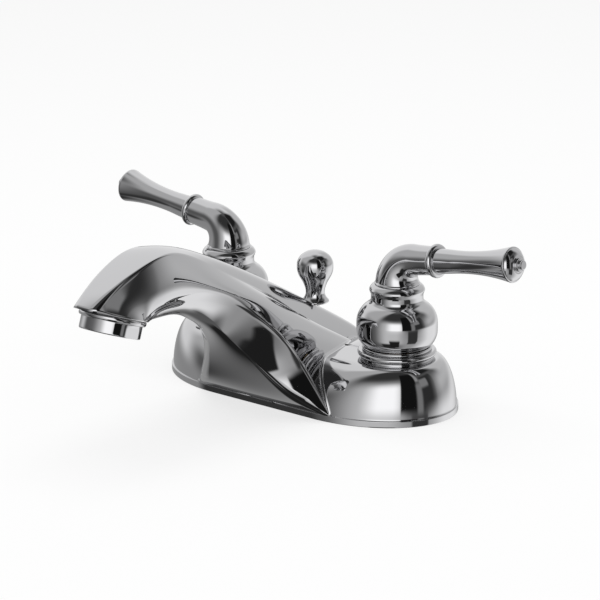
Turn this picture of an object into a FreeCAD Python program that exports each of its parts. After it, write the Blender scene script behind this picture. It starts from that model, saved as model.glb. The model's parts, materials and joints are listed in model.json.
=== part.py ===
import FreeCAD, Part
import math
import os

import Sketcher
from FreeCAD import Placement, Rotation, Vector

# Centerset basin faucet in millimetres and degrees.
# The origin is the middle of the underside that rests on the deck, +Z is up,
# the spout points along -Y, the cold handle stands at +X and the hot at -X.

SIZES = {
    # Foot casting
    "handle_spacing": 101.6,
    "base_length": 156.6,
    "base_width": 71.0,
    "base_end_length": 48.5,
    "mound_height": 25.0,
    "mound_top_radius": 18.4,
    "saddle_drop": 6.0,
    "saddle_inset": 0.06,
    "saddle_overlap": 0.5,
    "band_height": 3.0,
    "band_proud": 0.7,
    "casting_wall": 3.0,
    # Nose of the spout and the outlet fitting
    "spout_reach": 131.5,
    "nose_height": 65.8,
    "nose_tilt": 19.6,
    "nose_radius": 15.3,
    "nose_beak": 5.1,
    "lip_half_width": 5.5,
    "lip_round": 0.5,
    "lip_bow_forward": 9.5,
    "lip_bow_rise": 6.9,
    "thread_radius": 10.7,
    "thread_depth": 4.0,
    "chamber_radius": 7.0,
    "chamber_depth": 11.0,
    "outlet_bead_radius": 14.3,
    "outlet_bead_height": 2.4,
    "outlet_radius": 13.45,
    "outlet_height": 5.8,
    "outlet_mouth_radius": 8.3,
    "outlet_lip": 1.6,
    "flat_half_width": 12.8,
    "screen_radius": 9.2,
    "screen_hole_radius": 0.85,
    "washer_bore_radius": 7.2,
    "washer_thickness": 1.6,
    # Spout shape
    "ribbon_half_width": 10.0,
    "peak_setback": 28.6,
    "peak_height": 92.6,
    "ridge_angle": 29.6,
    "ridge_back_height": 21.0,
    "crown_half_width": 10.0,
    "brow_setback": 7.2,
    "brow_fall": 5.7,
    "brow_drop": 2.4,
    "crown_tuck": 1.0,
    "crown_depth": 10.0,
    "toe_half_width": 38.0,
    "heel_half_width": 40.5,
    "throat_half_width": 10.5,
    "throat_height": 63.8,
    "spout_foot_height": 2.6,
    "heel_setback": 1.6,
    "toe_setback": 0.2,
    "flank_angle": 60.0,
    "edge_angle": 43.4,
    "leg_bulge_across": 0.8,
    "leg_bulge_forward": 0.6,
    "core_inset": 5.0,
    "core_height": 48.0,
    "water_bore_radius": 6.2,
    "water_depth": 19.5,
    "water_riser": 7.7,
    "water_turn_setback": 33.5,
    "water_end_setback": 5.5,
    "water_end_rise": 6.2,
    "water_bend_radius": 10.0,
    "water_sweep_radius": 30.0,
    # Valve, one under each handle
    "shank_radius": 10.4,
    "shank_length": 52.0,
    "shank_bore_radius": 6.5,
    "inlet_radius": 10.1,
    "inlet_length": 16.0,
    "foot_flange_radius": 15.0,
    "foot_flange_thickness": 2.5,
    "cup_radius": 12.5,
    "neck_radius": 10.2,
    "neck_top": 32.5,
    "port_radius": 3.1,
    "cartridge_radius": 8.0,
    "cartridge_floor": 3.5,
    "cartridge_head_radius": 9.6,
    "cartridge_head_height": 3.0,
    "seal_thickness": 2.0,
    "disc_thickness": 2.4,
    "disc_radius": 7.4,
    "disc_port_radius": 1.9,
    "disc_port_offset": 3.8,
    "chamber_ring_radius": 6.2,
    "window_radius": 1.8,
    "collar_height": 4.5,
    "stem_seal_height": 24.0,
    "stem_seal_thickness": 2.0,
    "stem_seal_radius": 4.8,
    "stem_radius": 3.0,
    "stem_collar_radius": 5.0,
    "nut_radius": 14.0,
    "nut_height": 5.2,
    "fit_gap": 0.05,
    "clear_gap": 0.3,
    # Trim ring with its three beads
    "trim_radius": 17.2,
    "trim_bead_height": 1.85,
    "trim_bore_radius": 14.6,
    # Handle hub, a bell with a flange on top
    "hub_gap": 0.35,
    "hub_lip_radius": 16.4,
    "hub_lip_round": 9.0,
    "hub_belly_radius": 18.5,
    "hub_belly_low": 37.0,
    "hub_belly_high": 41.2,
    "hub_round_radius": 10.62,
    "hub_shoulder_radius": 13.3,
    "hub_shoulder_height": 50.4,
    "hub_neck_radius": 11.9,
    "hub_neck_height": 52.6,
    "hub_flange_radius": 12.7,
    "hub_flange_height": 56.8,
    "hub_top_radius": 10.5,
    "hub_top": 59.5,
    "hub_wall": 1.6,
    "hub_floor": 51.5,
    "stem_top": 57.0,
    # Handle arm, collar, grip and end button
    "arm_radius": 9.9,
    "arm_end_radius": 6.45,
    "arm_bend_radius": 11.5,
    "lever_height": 70.85,
    "lever_tilt": 7.6,
    "collar_start": 21.2,
    "collar_width": 3.0,
    "collar_radius": 7.75,
    "grip_root_radius": 5.7,
    "grip_waist_radius": 5.35,
    "grip_waist_distance": 31.0,
    "grip_end_radius": 8.0,
    "grip_end": 65.2,
    "grip_rim": 1.1,
    "grip_flare_radius": 110.0,
    "button_base_radius": 7.2,
    "button_dome_length": 2.4,
    "button_dome_radius": 4.2,
    "button_step_length": 1.5,
    "button_step_radius": 3.1,
    "button_tip_length": 1.3,
    "button_tip_radius": 2.1,
    "screw_radius": 2.0,
    "screw_length": 8.0,
    "screw_socket_radius": 1.1,
    "screw_socket_depth": 2.5,
    # Supply tubes between the valves and the spout tube
    "tube_radius": 4.0,
    "tube_wall": 0.9,
    "tube_height": 12.0,
    "tube_forward": 8.0,
    "tee_length": 14.0,
    "tee_width": 11.0,
    "tee_height": 13.0,
    "spout_tube_radius": 4.5,
    # Lift rod of the pop-up waste
    "rod_back": 3.0,
    "rod_radius": 2.0,
    "rod_below_deck": 85.0,
    "knob_foot": 40.9,
    "knob_foot_radius": 6.4,
    "knob_neck_radius": 4.4,
    "knob_neck_rise": 5.4,
    "knob_ball_radius": 8.55,
    "knob_ball_rise": 17.4,
    "knob_height": 24.7,
    "knob_tip_radius": 0.6,
    "knob_bore_depth": 12.0,
    "bushing_radius": 3.6,
    "bushing_length": 7.0,
    "bushing_top": 37.0,
    # Under the deck
    "base_plate_thickness": 2.0,
    "deck_thickness": 24.0,
    "mounting_washer_radius": 19.0,
    "mounting_washer_thickness": 2.0,
    "mounting_nut_corner_radius": 18.5,
    "mounting_nut_height": 8.0,
}


class Size:
    """A number that remembers the sheet expression it comes from."""

    def __init__(self, value, text):
        self.value = float(value)
        self.text = text

    def joined(self, other, sign, value):
        return Size(value, "(" + self.text + " " + sign + " " + sized(other).text + ")")

    def __add__(self, other):
        return self.joined(other, "+", self.value + sized(other).value)

    def __sub__(self, other):
        return self.joined(other, "-", self.value - sized(other).value)

    def __mul__(self, other):
        return self.joined(other, "*", self.value * sized(other).value)

    def __truediv__(self, other):
        return self.joined(other, "/", self.value / sized(other).value)

    def __neg__(self):
        return Size(-self.value, "(0 - " + self.text + ")")


def sized(number):
    if isinstance(number, Size):
        return number
    return Size(number, repr(float(number)))


def sine(angle):
    return Size(math.sin(math.radians(angle.value)), "sin(" + angle.text + " * 1deg)")


def cosine(angle):
    return Size(math.cos(math.radians(angle.value)), "cos(" + angle.text + " * 1deg)")


def tangent(angle):
    return Size(math.tan(math.radians(angle.value)), "tan(" + angle.text + " * 1deg)")


class SizeBook:
    """Gives each cell of the sheet as a Size, by its alias."""

    def __getattr__(self, alias):
        return Size(SIZES[alias], "Sizes." + alias)


size = SizeBook()
doc = FreeCAD.newDocument("Faucet")
sheet = doc.addObject("Spreadsheet::Sheet", "Sizes")
for row, (alias, number) in enumerate(SIZES.items(), start=1):
    sheet.set("A%d" % row, alias.replace("_", " "))
    sheet.set("B%d" % row, repr(number))
    sheet.setAlias("B%d" % row, alias)
doc.recompute()

nodes = []


def keep(name, thing):
    """Name a finished sub-part and put it on the list of files to write."""
    thing.Label = name
    nodes.append(thing)
    return thing


def bind(thing, path, length):
    thing.setExpression(path, sized(length).text)


# Sketches

def origin_plane(body, role):
    for feature in body.Origin.OriginFeatures:
        if feature.Role == role:
            return feature
    raise ValueError(role)


def new_body(name):
    return doc.addObject("PartDesign::Body", name + "_body")


def new_sketch(body, role, name):
    sketch = body.newObject("Sketcher::SketchObject", name)
    sketch.AttachmentSupport = [(origin_plane(body, role), "")]
    sketch.MapMode = "FlatFace"
    return sketch


def pin_point(sketch, geometry, end, across, up):
    """Fix one end of a sketch line or arc at two sheet lengths."""
    for kind, axis, length in (("DistanceX", -2, across), ("DistanceY", -1, up)):
        length = sized(length)
        if length.value == 0:
            sketch.addConstraint(Sketcher.Constraint("PointOnObject", geometry, end, axis))
            continue
        rule = Sketcher.Constraint(kind, -1, 1, geometry, end, length.value)
        index = sketch.addConstraint(rule)
        sketch.setExpression("Constraints[%d]" % index, length.text)


def arc_between(start, finish, radius):
    """The short arc from start to finish: left turn for a positive radius."""
    chord = finish - start
    half = chord.Length / 2
    reach = math.sqrt(max(radius * radius - half * half, 0.0))
    side = Vector(-chord.y, chord.x, 0).normalize()
    centre = (start + finish) / 2 + side * (reach if radius > 0 else -reach)
    first, last = (start, finish) if radius > 0 else (finish, start)
    from_angle = math.atan2(first.y - centre.y, first.x - centre.x)
    to_angle = math.atan2(last.y - centre.y, last.x - centre.x)
    circle = Part.Circle(centre, Vector(0, 0, 1), abs(radius))
    return Part.ArcOfCircle(circle, from_angle, to_angle)


def draw_outline(sketch, corners):
    """Closed outline. A corner is (across, up), or (across, up, radius, turn) where
    an arc leads to it and turn is +1 for a left turn or -1 for a right turn."""
    spots = [Vector(sized(c[0]).value, sized(c[1]).value, 0) for c in corners]
    ends = []
    for number, corner in enumerate(corners):
        start = spots[number - 1]
        finish = spots[number]
        if len(corner) == 2:
            index = sketch.addGeometry(Part.LineSegment(start, finish), False)
            ends.append((index, 1, 2))
        else:
            radius, turn = sized(corner[2]), corner[3]
            index = sketch.addGeometry(arc_between(start, finish, turn * radius.value), False)
            ends.append((index, 1, 2) if turn > 0 else (index, 2, 1))
            rule = sketch.addConstraint(Sketcher.Constraint("Radius", index, radius.value))
            sketch.setExpression("Constraints[%d]" % rule, radius.text)
    for number, corner in enumerate(corners):
        index, start_end, finish_end = ends[number]
        before, _, before_end = ends[number - 1]
        rule = Sketcher.Constraint("Coincident", before, before_end, index, start_end)
        sketch.addConstraint(rule)
        pin_point(sketch, index, finish_end, corner[0], corner[1])


def turned(name, corners, lean=None):
    """A body of revolution about Z. With lean=(height, angle) the profile's first
    axis is a line that leaves the Z axis at that height and rises at that angle."""
    body = new_body(name)
    sketch = new_sketch(body, "XZ_Plane", name + "_profile")
    draw_outline(sketch, corners)
    axis = "V_Axis"
    if lean is not None:
        height, angle = lean
        axis = "H_Axis"
        sketch.AttachmentOffset = Placement(
            Vector(0, height.value, 0), Rotation(Vector(0, 0, 1), angle.value))
        bind(sketch, "AttachmentOffset.Base.y", height)
        bind(sketch, "AttachmentOffset.Rotation.Angle", angle)
    doc.recompute()
    spin = body.newObject("PartDesign::Revolution", name + "_turn")
    spin.Profile = sketch
    spin.ReferenceAxis = (sketch, [axis])
    spin.Angle = 360
    doc.recompute()
    return body


def round_hole(body, name, role, centre, radius, depth, reverse=False):
    """Pocket a round hole from an origin plane of the body, and check that it cuts.
    A depth of None cuts through all, to both sides of the plane."""
    before = body.Shape.Volume
    sketch = new_sketch(body, role, name + "_circle")
    circle = Part.Circle(Vector(sized(centre[0]).value, sized(centre[1]).value, 0),
                         Vector(0, 0, 1), sized(radius).value)
    index = sketch.addGeometry(circle, False)
    pin_point(sketch, index, 3, centre[0], centre[1])
    rule = sketch.addConstraint(Sketcher.Constraint("Radius", index, sized(radius).value))
    sketch.setExpression("Constraints[%d]" % rule, sized(radius).text)
    doc.recompute()
    pocket = body.newObject("PartDesign::Pocket", name)
    pocket.Profile = sketch
    if depth is None:
        pocket.Type = "ThroughAll"
        pocket.Midplane = True
    else:
        pocket.Length = sized(depth).value
        bind(pocket, "Length", depth)
        pocket.Reversed = reverse
    doc.recompute()
    if body.Shape.Volume > before - 0.01:
        raise RuntimeError(name + " cuts nothing")
    return pocket


def stand(thing, side, turn=0):
    """Put a piece on a handle's axis: side +1 is the cold one, -1 the hot one."""
    thing.Placement = Placement(
        Vector(side * size.handle_spacing.value / 2, 0, 0), Rotation(Vector(0, 0, 1), turn))
    bind(thing, "Placement.Base.x", size.handle_spacing * (side / 2))
    return thing


# The casting: a foot with two mounds and the spout that grows out of it

def millimetres(*lengths):
    return Vector(*[sized(length).value for length in lengths])


def mound_section(share, inset):
    """Level of the mound at a share of the way up its quarter-round side: the centre
    of its round end, the end's two half-axes and the height. Inset makes the core."""
    angle = share * math.pi / 2
    ease = 1 - math.cos(angle)
    foot_centre = (size.base_length / 2 - size.base_end_length).value
    centre = foot_centre + (size.handle_spacing.value / 2 - foot_centre) * ease
    top = size.mound_top_radius.value - inset
    long_axis = size.base_end_length.value - inset
    long_axis += (top - long_axis) * ease
    short_axis = size.base_width.value / 2 - inset
    short_axis += (top - short_axis) * ease
    return centre, long_axis, short_axis, (size.mound_height.value - inset) * math.sin(angle)


def mound_joint():
    """Where the rounded end of the foot meets the saddle, along X."""
    return 0.85 * mound_section(0, 0)[0]


def mound_end(inset):
    """The outer part of one mound, from the plane where its round end begins."""
    start = mound_joint()
    wires = []
    for step in range(7):
        centre, long_axis, short_axis, height = mound_section(step / 6, inset)
        if step == 0:
            height = -inset
        ellipse = Part.Ellipse(Vector(centre, 0, height), long_axis, short_axis)
        if long_axis - short_axis < 0.001:
            ellipse = Part.Circle(Vector(centre, 0, height), Vector(0, 0, 1), short_axis)
        near = Vector(start, -short_axis, height)
        far = Vector(start, short_axis, height)
        runs = [
            Part.LineSegment(near, Vector(centre, -short_axis, height)),
            Part.Arc(ellipse, -math.pi / 2, math.pi / 2),
            Part.LineSegment(Vector(centre, short_axis, height), far),
            Part.LineSegment(far, near),
        ]
        wires.append(Part.Wire([run.toShape() for run in runs]))
    return Part.makeLoft(wires, True)


def mound_middle(inset):
    """Saddle between the mounds: the same side profile, lower at the middle plane. It
    reaches a little way into both ends, a hair inside their surface."""
    hair = size.saddle_inset.value
    start = mound_joint() + size.saddle_overlap.value
    wires = []
    for share in (-1.0, -0.5, 0.0, 0.5, 1.0):
        drop = size.saddle_drop.value * math.cos(share * math.pi / 2) ** 2
        stretch = 1 - drop / size.mound_height.value
        across = share * start
        side = []
        for step in range(9):
            _, _, half, height = mound_section(step / 8, inset + hair)
            if step == 0:
                height = -inset
            side.append(Vector(across, half, height * stretch))
        right = Part.BSplineCurve()
        right.interpolate(side)
        left = Part.BSplineCurve()
        left.interpolate([Vector(p.x, -p.y, p.z) for p in reversed(side)])
        top = Part.LineSegment(side[-1], Vector(across, -side[-1].y, side[-1].z))
        bottom = Part.LineSegment(Vector(across, -side[0].y, side[0].z), side[0])
        wires.append(Part.Wire([run.toShape() for run in (right, top, left, bottom)]))
    return Part.makeLoft(wires, True)


def mound(inset):
    """Both mounds and the saddle. Inset gives the hollow core inside them."""
    end = mound_end(inset)
    return mound_middle(inset).fuse([end, end.mirror(Vector(0, 0, 0), Vector(1, 0, 0))])


def oval(proud, low, high):
    """Upright slab with the foot's oval outline, grown by proud."""
    start = mound_section(0, 0)[0]
    half = size.base_width.value / 2 + proud
    long_axis = size.base_end_length.value + proud
    ends = []
    for side in (1, -1):
        turn = Placement(Vector(0, 0, 0), Rotation(Vector(0, 0, 1), 0 if side > 0 else 180))
        ellipse = Part.Ellipse(Vector(start, 0, low), long_axis, half)
        arc = Part.Arc(ellipse, -math.pi / 2, math.pi / 2).toShape()
        arc.Placement = turn
        ends.append(arc)
    far = Part.LineSegment(Vector(start, half, low), Vector(-start, half, low)).toShape()
    near = Part.LineSegment(Vector(-start, -half, low), Vector(start, -half, low)).toShape()
    face = Part.Face(Part.Wire([ends[0], far, ends[1], near]))
    return face.extrude(Vector(0, 0, high - low))


def nose_point(across, forward):
    """A point of the nose's end plane, measured from the outlet's axis."""
    tilt = math.radians(size.nose_tilt.value)
    return Vector(across, -size.spout_reach.value - forward * math.cos(tilt),
                  size.nose_height.value + forward * math.sin(tilt))


def outlet_axis():
    """Unit vector up the outlet's axis, from the mouth into the nose."""
    tilt = math.radians(size.nose_tilt.value)
    return Vector(0, math.sin(tilt), math.cos(tilt))


def mix(start, finish, share):
    return start + (finish - start) * share


def ridge_height(forward):
    """Height of the straight ridge, at a distance in front of the handle axes."""
    rise = math.tan(math.radians(size.ridge_angle.value))
    return size.ridge_back_height.value + (size.base_width.value / 2 + forward) * rise


# Each guide is a smooth edge of the spout, from the nose down to the deck. It is a
# cubic spline pulled by ten control points. The tables place the middle eight: forward
# 0 is the foot's front and 1 the outlet, height 1 is the peak or the throat, and width
# 0 is the throat and 1 the heel or the toe.

FLANK_WIDTH = (0.079, 0.066, 0.052, 0.107, 0.262, 0.552, 0.583, 0.879)
FLANK_FORWARD = (0.906, 0.778, 0.667, 0.466, 0.278, 0.161, 0.036, 0.003)
FLANK_HEIGHT = (0.717, 0.740, 0.734, 0.711, 0.589, 0.448, 0.280, 0.108)
EDGE_WIDTH = (0.00, 0.00, -0.045, -0.053, -0.162, 0.030, 0.434, 0.728)
EDGE_FORWARD = (0.823, 0.713, 0.588, 0.465, 0.338, 0.230, 0.155, 0.096)
EDGE_HEIGHT = (1.000, 1.000, 0.961, 0.842, 0.676, 0.480, 0.262, 0.143)
BELLY_FORWARD = (0.822, 0.710, 0.585, 0.469, 0.343, 0.236, 0.149, 0.071)
BELLY_HEIGHT = (0.928, 0.933, 0.898, 0.802, 0.668, 0.473, 0.271, 0.125)
RIDGE_SHARE = (0.215, 0.473, 0.731, 0.943)
CROWN_DROP = (0.0, 0.02, 0.03, 0.06, 0.57, 0.81, 1.4, 1.0, 0.7, 0.0)
CROWN_ROUND = (0.5, 0.5, 0.5, 0.5, 0.7, 0.9, 1.0, 1.0, 1.0, 1.0)
# Control rows between two guides: shares of the way, and the wall's roundness
WALL_ALONG = (0.50, 0.50, 0.50, 0.50, 0.45, 0.38, 0.30, 0.28, 0.28, 0.28)
WALL_UP = (0.50, 0.56, 0.60, 0.60, 0.60, 0.60, 0.60, 0.62, 0.62, 0.62)
WALL_BULGE = (0.0, 2.0, 3.0, 3.0, 2.5, 1.0, 0.5, 0.0, 0.0, 0.0)
HALF_WAY = (0.5,) * 10
UNDER_SHARE = 0.55
# First points of the wall and the leg, across and along, as shares of the nose radius
WALL_START = (1.24, 0.06)
LEG_START = (0.8, 0.63)


def ridge_guide():
    """Middle line of the top: lip, peak, straight ridge, back of the foot."""
    back = -size.base_width.value / 2
    reach = size.spout_reach.value
    peak = reach - size.peak_setback.value
    foot = size.spout_foot_height.value
    lip = nose_point(0, size.nose_radius.value + size.nose_beak.value)
    points = [lip]
    points.append(Vector(0, -reach - size.lip_bow_forward.value,
                         lip.z + size.lip_bow_rise.value))
    points.append(Vector(0, -reach + size.brow_setback.value,
                         (size.peak_height - size.brow_fall).value))
    points.append(Vector(0, -peak, size.peak_height.value))
    for share in RIDGE_SHARE:
        forward = mix(peak, back, share)
        points.append(Vector(0, -forward, ridge_height(forward)))
    points[4].z = points[4].z - size.brow_drop.value
    points.append(Vector(0, -back, size.ridge_back_height.value * 0.9))
    points.append(Vector(0, -back, foot))
    return points


def crown_guide(ridge):
    """Edge of the flat ribbon, which becomes the foot of the round crown."""
    wide = size.ribbon_half_width.value
    crown = size.crown_half_width.value
    lip = size.lip_half_width.value
    widths = [lip, mix(lip, wide, 0.33), wide, wide * 0.96, crown * 0.74, crown,
              crown * 0.95, crown * 0.95, crown, crown]
    points = []
    for width, point, drop in zip(widths, ridge, CROWN_DROP):
        points.append(Vector(width, point.y, point.z - drop * size.crown_depth.value))
    points[0] = nose_point(lip, (size.nose_radius + size.nose_beak - size.lip_round).value)
    points[8].y = points[8].y - size.crown_tuck.value * 2
    points[9].y = points[9].y - size.crown_tuck.value
    return points


def guide_points(start, widths, forwards, heights, finish):
    """Control points of a guide between the nose's end plane and the spout's foot."""
    front = size.base_width.value / 2
    reach = size.spout_reach.value
    points = [start]
    for width, forward, height in zip(widths, forwards, heights):
        points.append(Vector(width, -mix(front, reach, forward), height))
    points.append(finish)
    return points


def nose_rim(angle):
    """Point of the nose's round rim, at an angle from its rear."""
    turn = math.radians(angle)
    radius = size.nose_radius.value
    return nose_point(radius * math.sin(turn), -radius * math.cos(turn))


def spout_foot(across, back):
    """Point of the spout's foot, measured from the front of the foot's oval."""
    return Vector(across, back - size.base_width.value / 2, size.spout_foot_height.value)


def flank_guide():
    """Side of the nose, which becomes the crease down to the heel."""
    throat = size.throat_half_width.value
    heel = size.heel_half_width.value
    widths = [mix(throat, heel, share) for share in FLANK_WIDTH]
    heights = [size.peak_height.value * share for share in FLANK_HEIGHT]
    return guide_points(nose_rim(size.flank_angle.value), widths, FLANK_FORWARD, heights,
                        spout_foot(heel, size.heel_setback.value))


def edge_guide():
    """Lower edge of the side: round the arch and down the leg to the toe."""
    throat = size.throat_half_width.value
    toe = size.toe_half_width.value
    widths = [mix(throat, toe, share) for share in EDGE_WIDTH]
    heights = [size.throat_height.value * share for share in EDGE_HEIGHT]
    return guide_points(nose_rim(size.edge_angle.value), widths, EDGE_FORWARD, heights,
                        spout_foot(toe, size.toe_setback.value))


def belly_guide():
    """Middle line of the underside, round the arch and down the front of the leg."""
    heights = [size.throat_height.value * share for share in BELLY_HEIGHT]
    return guide_points(nose_rim(0), (0,) * 8, BELLY_FORWARD, heights,
                        spout_foot(0, size.toe_setback.value))


def between(first, second, along, up):
    """Control points of the curved strip between two guides."""
    return [Vector(mix(a.x, b.x, k), mix(a.y, b.y, k), mix(a.z, b.z, rise))
            for a, b, k, rise in zip(first, second, along, up)]


def strip(rows):
    """Smooth strip through two guides, pulled by the control row between them."""
    poles = [list(column) for column in zip(*rows)]
    spans = len(poles) - 3
    surface = Part.BSplineSurface()
    surface.buildFromPolesMultsKnots(
        poles, [4] + [1] * (spans - 1) + [4], [3, 3],
        [step / spans for step in range(spans + 1)], [0.0, 1.0], False, False, 3, 2)
    return surface


def spout_strips():
    """Right-hand strips of the spout: crown, side wall, leg and belly."""
    radius = size.nose_radius.value
    ridge = ridge_guide()
    crown = crown_guide(ridge)
    flank = flank_guide()
    edge = edge_guide()
    belly = belly_guide()
    over = [Vector(c.x * k, r.y, r.z) for c, r, k in zip(crown, ridge, CROWN_ROUND)]
    wall = between(crown, flank, WALL_ALONG, WALL_UP)
    for point, bulge in zip(wall, WALL_BULGE):
        point.x = point.x + bulge
    wall[0] = nose_point(radius * WALL_START[0], radius * WALL_START[1])
    bulge = Vector(size.leg_bulge_across.value, -size.leg_bulge_forward.value, 0)
    leg = [point + bulge for point in between(flank, edge, HALF_WAY, HALF_WAY)]
    leg[0] = nose_point(radius * LEG_START[0], -radius * LEG_START[1])
    leg[9].y = edge[9].y
    under = [Vector(e.x * UNDER_SHARE, b.y, b.z) for e, b in zip(edge, belly)]
    half_turn = math.radians(size.edge_angle.value / 2)
    under[0] = nose_point(radius * math.tan(half_turn), -radius)
    return [strip(rows) for rows in ((ridge, over, crown), (crown, wall, flank),
                                     (flank, leg, edge), (edge, under, belly))]


def spout_solid():
    """Closed spout: four strips, their mirror images and two flat ends."""
    right = [surface.toShape() for surface in spout_strips()]
    left = [face.mirror(Vector(0, 0, 0), Vector(1, 0, 0)) for face in right]
    faces = right + left
    for end in (0.0, 1.0):
        rims = [surface.uIso(end).toShape() for surface in spout_strips()]
        rims += [rim.mirror(Vector(0, 0, 0), Vector(1, 0, 0)) for rim in rims]
        faces.append(Part.Face(Part.Wire(Part.__sortEdges__(rims))))
    shell = Part.Shell(faces)
    shell.sewShape()
    solid = Part.Solid(shell)
    if solid.Volume < 0:
        solid.reverse()
    return solid


def level_point(guide, height):
    """Where the lower, rear run of a guide passes a height."""
    curve = Part.BSplineCurve()
    spans = len(guide) - 3
    curve.buildFromPolesMultsKnots(guide, [4] + [1] * (spans - 1) + [4],
                                   [step / spans for step in range(spans + 1)], False, 3)
    low, high = 0.4, 1.0
    for _ in range(40):
        middle = (low + high) / 2
        if curve.value(middle).z > height:
            low = middle
        else:
            high = middle
    return curve.value(high)


def spout_core():
    """Hollow of the casting inside the foot of the spout, open at the deck."""
    inset = size.core_inset.value
    ridge = ridge_guide()
    crown = crown_guide(ridge)
    edge = edge_guide()
    flank = flank_guide()
    wires = []
    for share in (0.0, 0.12, 0.35, 0.7, 1.0):
        height = size.core_height.value * share
        toe = level_point(edge, height)
        heel = level_point(flank, height)
        back = level_point(crown, height)
        belly = level_point(belly_guide(), height)
        corners = [(0, belly.y + inset), (toe.x - inset, belly.y + inset),
                   (heel.x - 1.6 * inset, heel.y + inset), (back.x - inset, back.y - inset)]
        outline = [Vector(x, y, height) for x, y in corners]
        outline += [Vector(-p.x, p.y, p.z) for p in reversed(outline[1:])]
        if share == 0.0:
            for corner in outline:
                corner.z = -1
        wires.append(Part.makePolygon(outline + outline[:1]))
    return Part.makeLoft(wires, True, True)


def water_path(shortening):
    """Middle line of the spout tube: up from the tee, along the spout to the nose."""
    forward = size.tube_forward.value
    start = Vector(0, -forward, (size.tube_height + size.tee_height / 2).value)
    first = start + Vector(0, 0, size.water_riser.value)
    turn = (size.spout_reach - size.water_turn_setback).value
    second = Vector(0, -turn, ridge_height(turn) - size.water_depth.value)
    end = Vector(0, (size.water_end_setback - size.spout_reach).value,
                 (size.nose_height + size.water_end_rise).value)
    end = end + (second - end).normalize() * shortening
    corners = [start, first, second, end]
    bends = [size.water_bend_radius.value, size.water_sweep_radius.value]
    edges = []
    last = start
    for number, radius in enumerate(bends, start=1):
        corner = corners[number]
        incoming = (corners[number - 1] - corner).normalize()
        outgoing = (corners[number + 1] - corner).normalize()
        half = incoming.getAngle(outgoing) / 2
        leg = radius / math.tan(half)
        begin = corner + incoming * leg
        finish = corner + outgoing * leg
        bisector = (incoming + outgoing).normalize()
        middle = corner + bisector * (radius / math.sin(half) - radius)
        edges.append(Part.LineSegment(last, begin).toShape())
        edges.append(Part.Arc(begin, middle, finish).toShape())
        last = finish
    edges.append(Part.LineSegment(last, end).toShape())
    return Part.Wire(edges)


def piped(path, radius):
    """Round bar along a path that starts straight up."""
    start = path.Vertexes[0].Point
    ring = Part.Wire(Part.Circle(start, Vector(0, 0, 1), radius).toShape())
    return path.makePipeShell([ring], True, False)


def upright(radius, low, high, across=0.0, back=0.0):
    return Part.makeCylinder(radius, high - low, Vector(across, back, low))


def casting():
    """Foot, mounds and spout in one piece, with its core, water way and holes."""
    metal = spout_solid().fuse([mound(0), oval(size.band_proud.value, 0, size.band_height.value)])
    up = outlet_axis()
    seat = nose_point(0, 0)
    radius = size.thread_radius.value
    foot = size.knob_foot.value - size.clear_gap.value
    bushing_low = (size.bushing_top - size.bushing_length).value
    rod = size.rod_back.value
    cuts = [
        mound(size.casting_wall.value),
        spout_core(),
        piped(water_path(0), size.water_bore_radius.value),
        Part.makeCylinder(radius, size.thread_depth.value + 1, seat - up, up),
        Part.makeCylinder(size.chamber_radius.value, size.chamber_depth.value, seat, up),
        upright(size.knob_foot_radius.value + size.clear_gap.value, foot, foot + 10, 0, rod),
        upright((size.bushing_radius + size.fit_gap).value, bushing_low, foot + 1, 0, rod),
        upright(size.rod_radius.value + size.clear_gap.value, 0, bushing_low + 1, 0, rod),
    ]
    for side in (-1, 1):
        neck = size.neck_radius.value + size.clear_gap.value
        across = side * size.handle_spacing.value / 2
        cuts.append(upright(neck, 0, size.mound_height.value + 1, across))
    return metal.cut(cuts)


def shaped(name, shape):
    """Sub-part whose shape is set by code from the sheet's sizes."""
    feature = doc.addObject("Part::Feature", name + "_shape")
    feature.Shape = shape.removeSplitter()
    feature.Placement = Placement()
    return keep(name, feature)


def make_casting():
    shaped("faucet_body", casting())


def make_base_plate():
    """Plastic plate that closes the underside inside the foot's rim."""
    inset = (size.casting_wall + size.clear_gap * 2).value
    thickness = size.base_plate_thickness.value
    plate = oval(-inset, 0, thickness)
    rod = size.rod_radius.value + size.fit_gap.value * 3
    holes = [upright(rod, -1, thickness + 1, 0, size.rod_back.value)]
    for side in (-1, 1):
        across = side * size.handle_spacing.value / 2
        shank = size.shank_radius.value + size.clear_gap.value
        holes.append(upright(shank, -1, thickness + 1, across))
    shaped("base_plate", plate.cut(holes))


# Valves under the handles

def sides():
    return (("hot", -1), ("cold", 1))


def roof():
    """Underside of the casting's top, which the valve cup bears on."""
    return size.mound_height - size.casting_wall


def seal_top():
    return size.cartridge_floor + size.seal_thickness


def disc_top():
    return seal_top() + size.disc_thickness


def stem_foot():
    return disc_top() + size.fit_gap + size.disc_thickness


def make_valve_body(name, side):
    """Brass valve in one turning: hose inlet, shank, flange, cup and neck."""
    s = size
    flange_top = s.base_plate_thickness + s.foot_flange_thickness
    pocket = s.cartridge_radius + s.fit_gap
    body = turned(name, [
        (s.shank_bore_radius, -s.shank_length),
        (s.inlet_radius, -s.shank_length),
        (s.inlet_radius, s.inlet_length - s.shank_length),
        (s.shank_radius, s.inlet_length - s.shank_length),
        (s.shank_radius, s.base_plate_thickness),
        (s.foot_flange_radius, s.base_plate_thickness),
        (s.foot_flange_radius, flange_top),
        (s.cup_radius, flange_top),
        (s.cup_radius, roof()),
        (s.neck_radius, roof()),
        (s.neck_radius, s.neck_top),
        (pocket, s.neck_top),
        (pocket, s.cartridge_floor),
        (s.shank_bore_radius, s.cartridge_floor),
    ])
    round_hole(body, name + "_port", "YZ_Plane", (-s.tube_forward, s.tube_height),
               s.port_radius, s.cup_radius + 1, side < 0)
    stand(body, side)
    keep(name, body)


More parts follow.
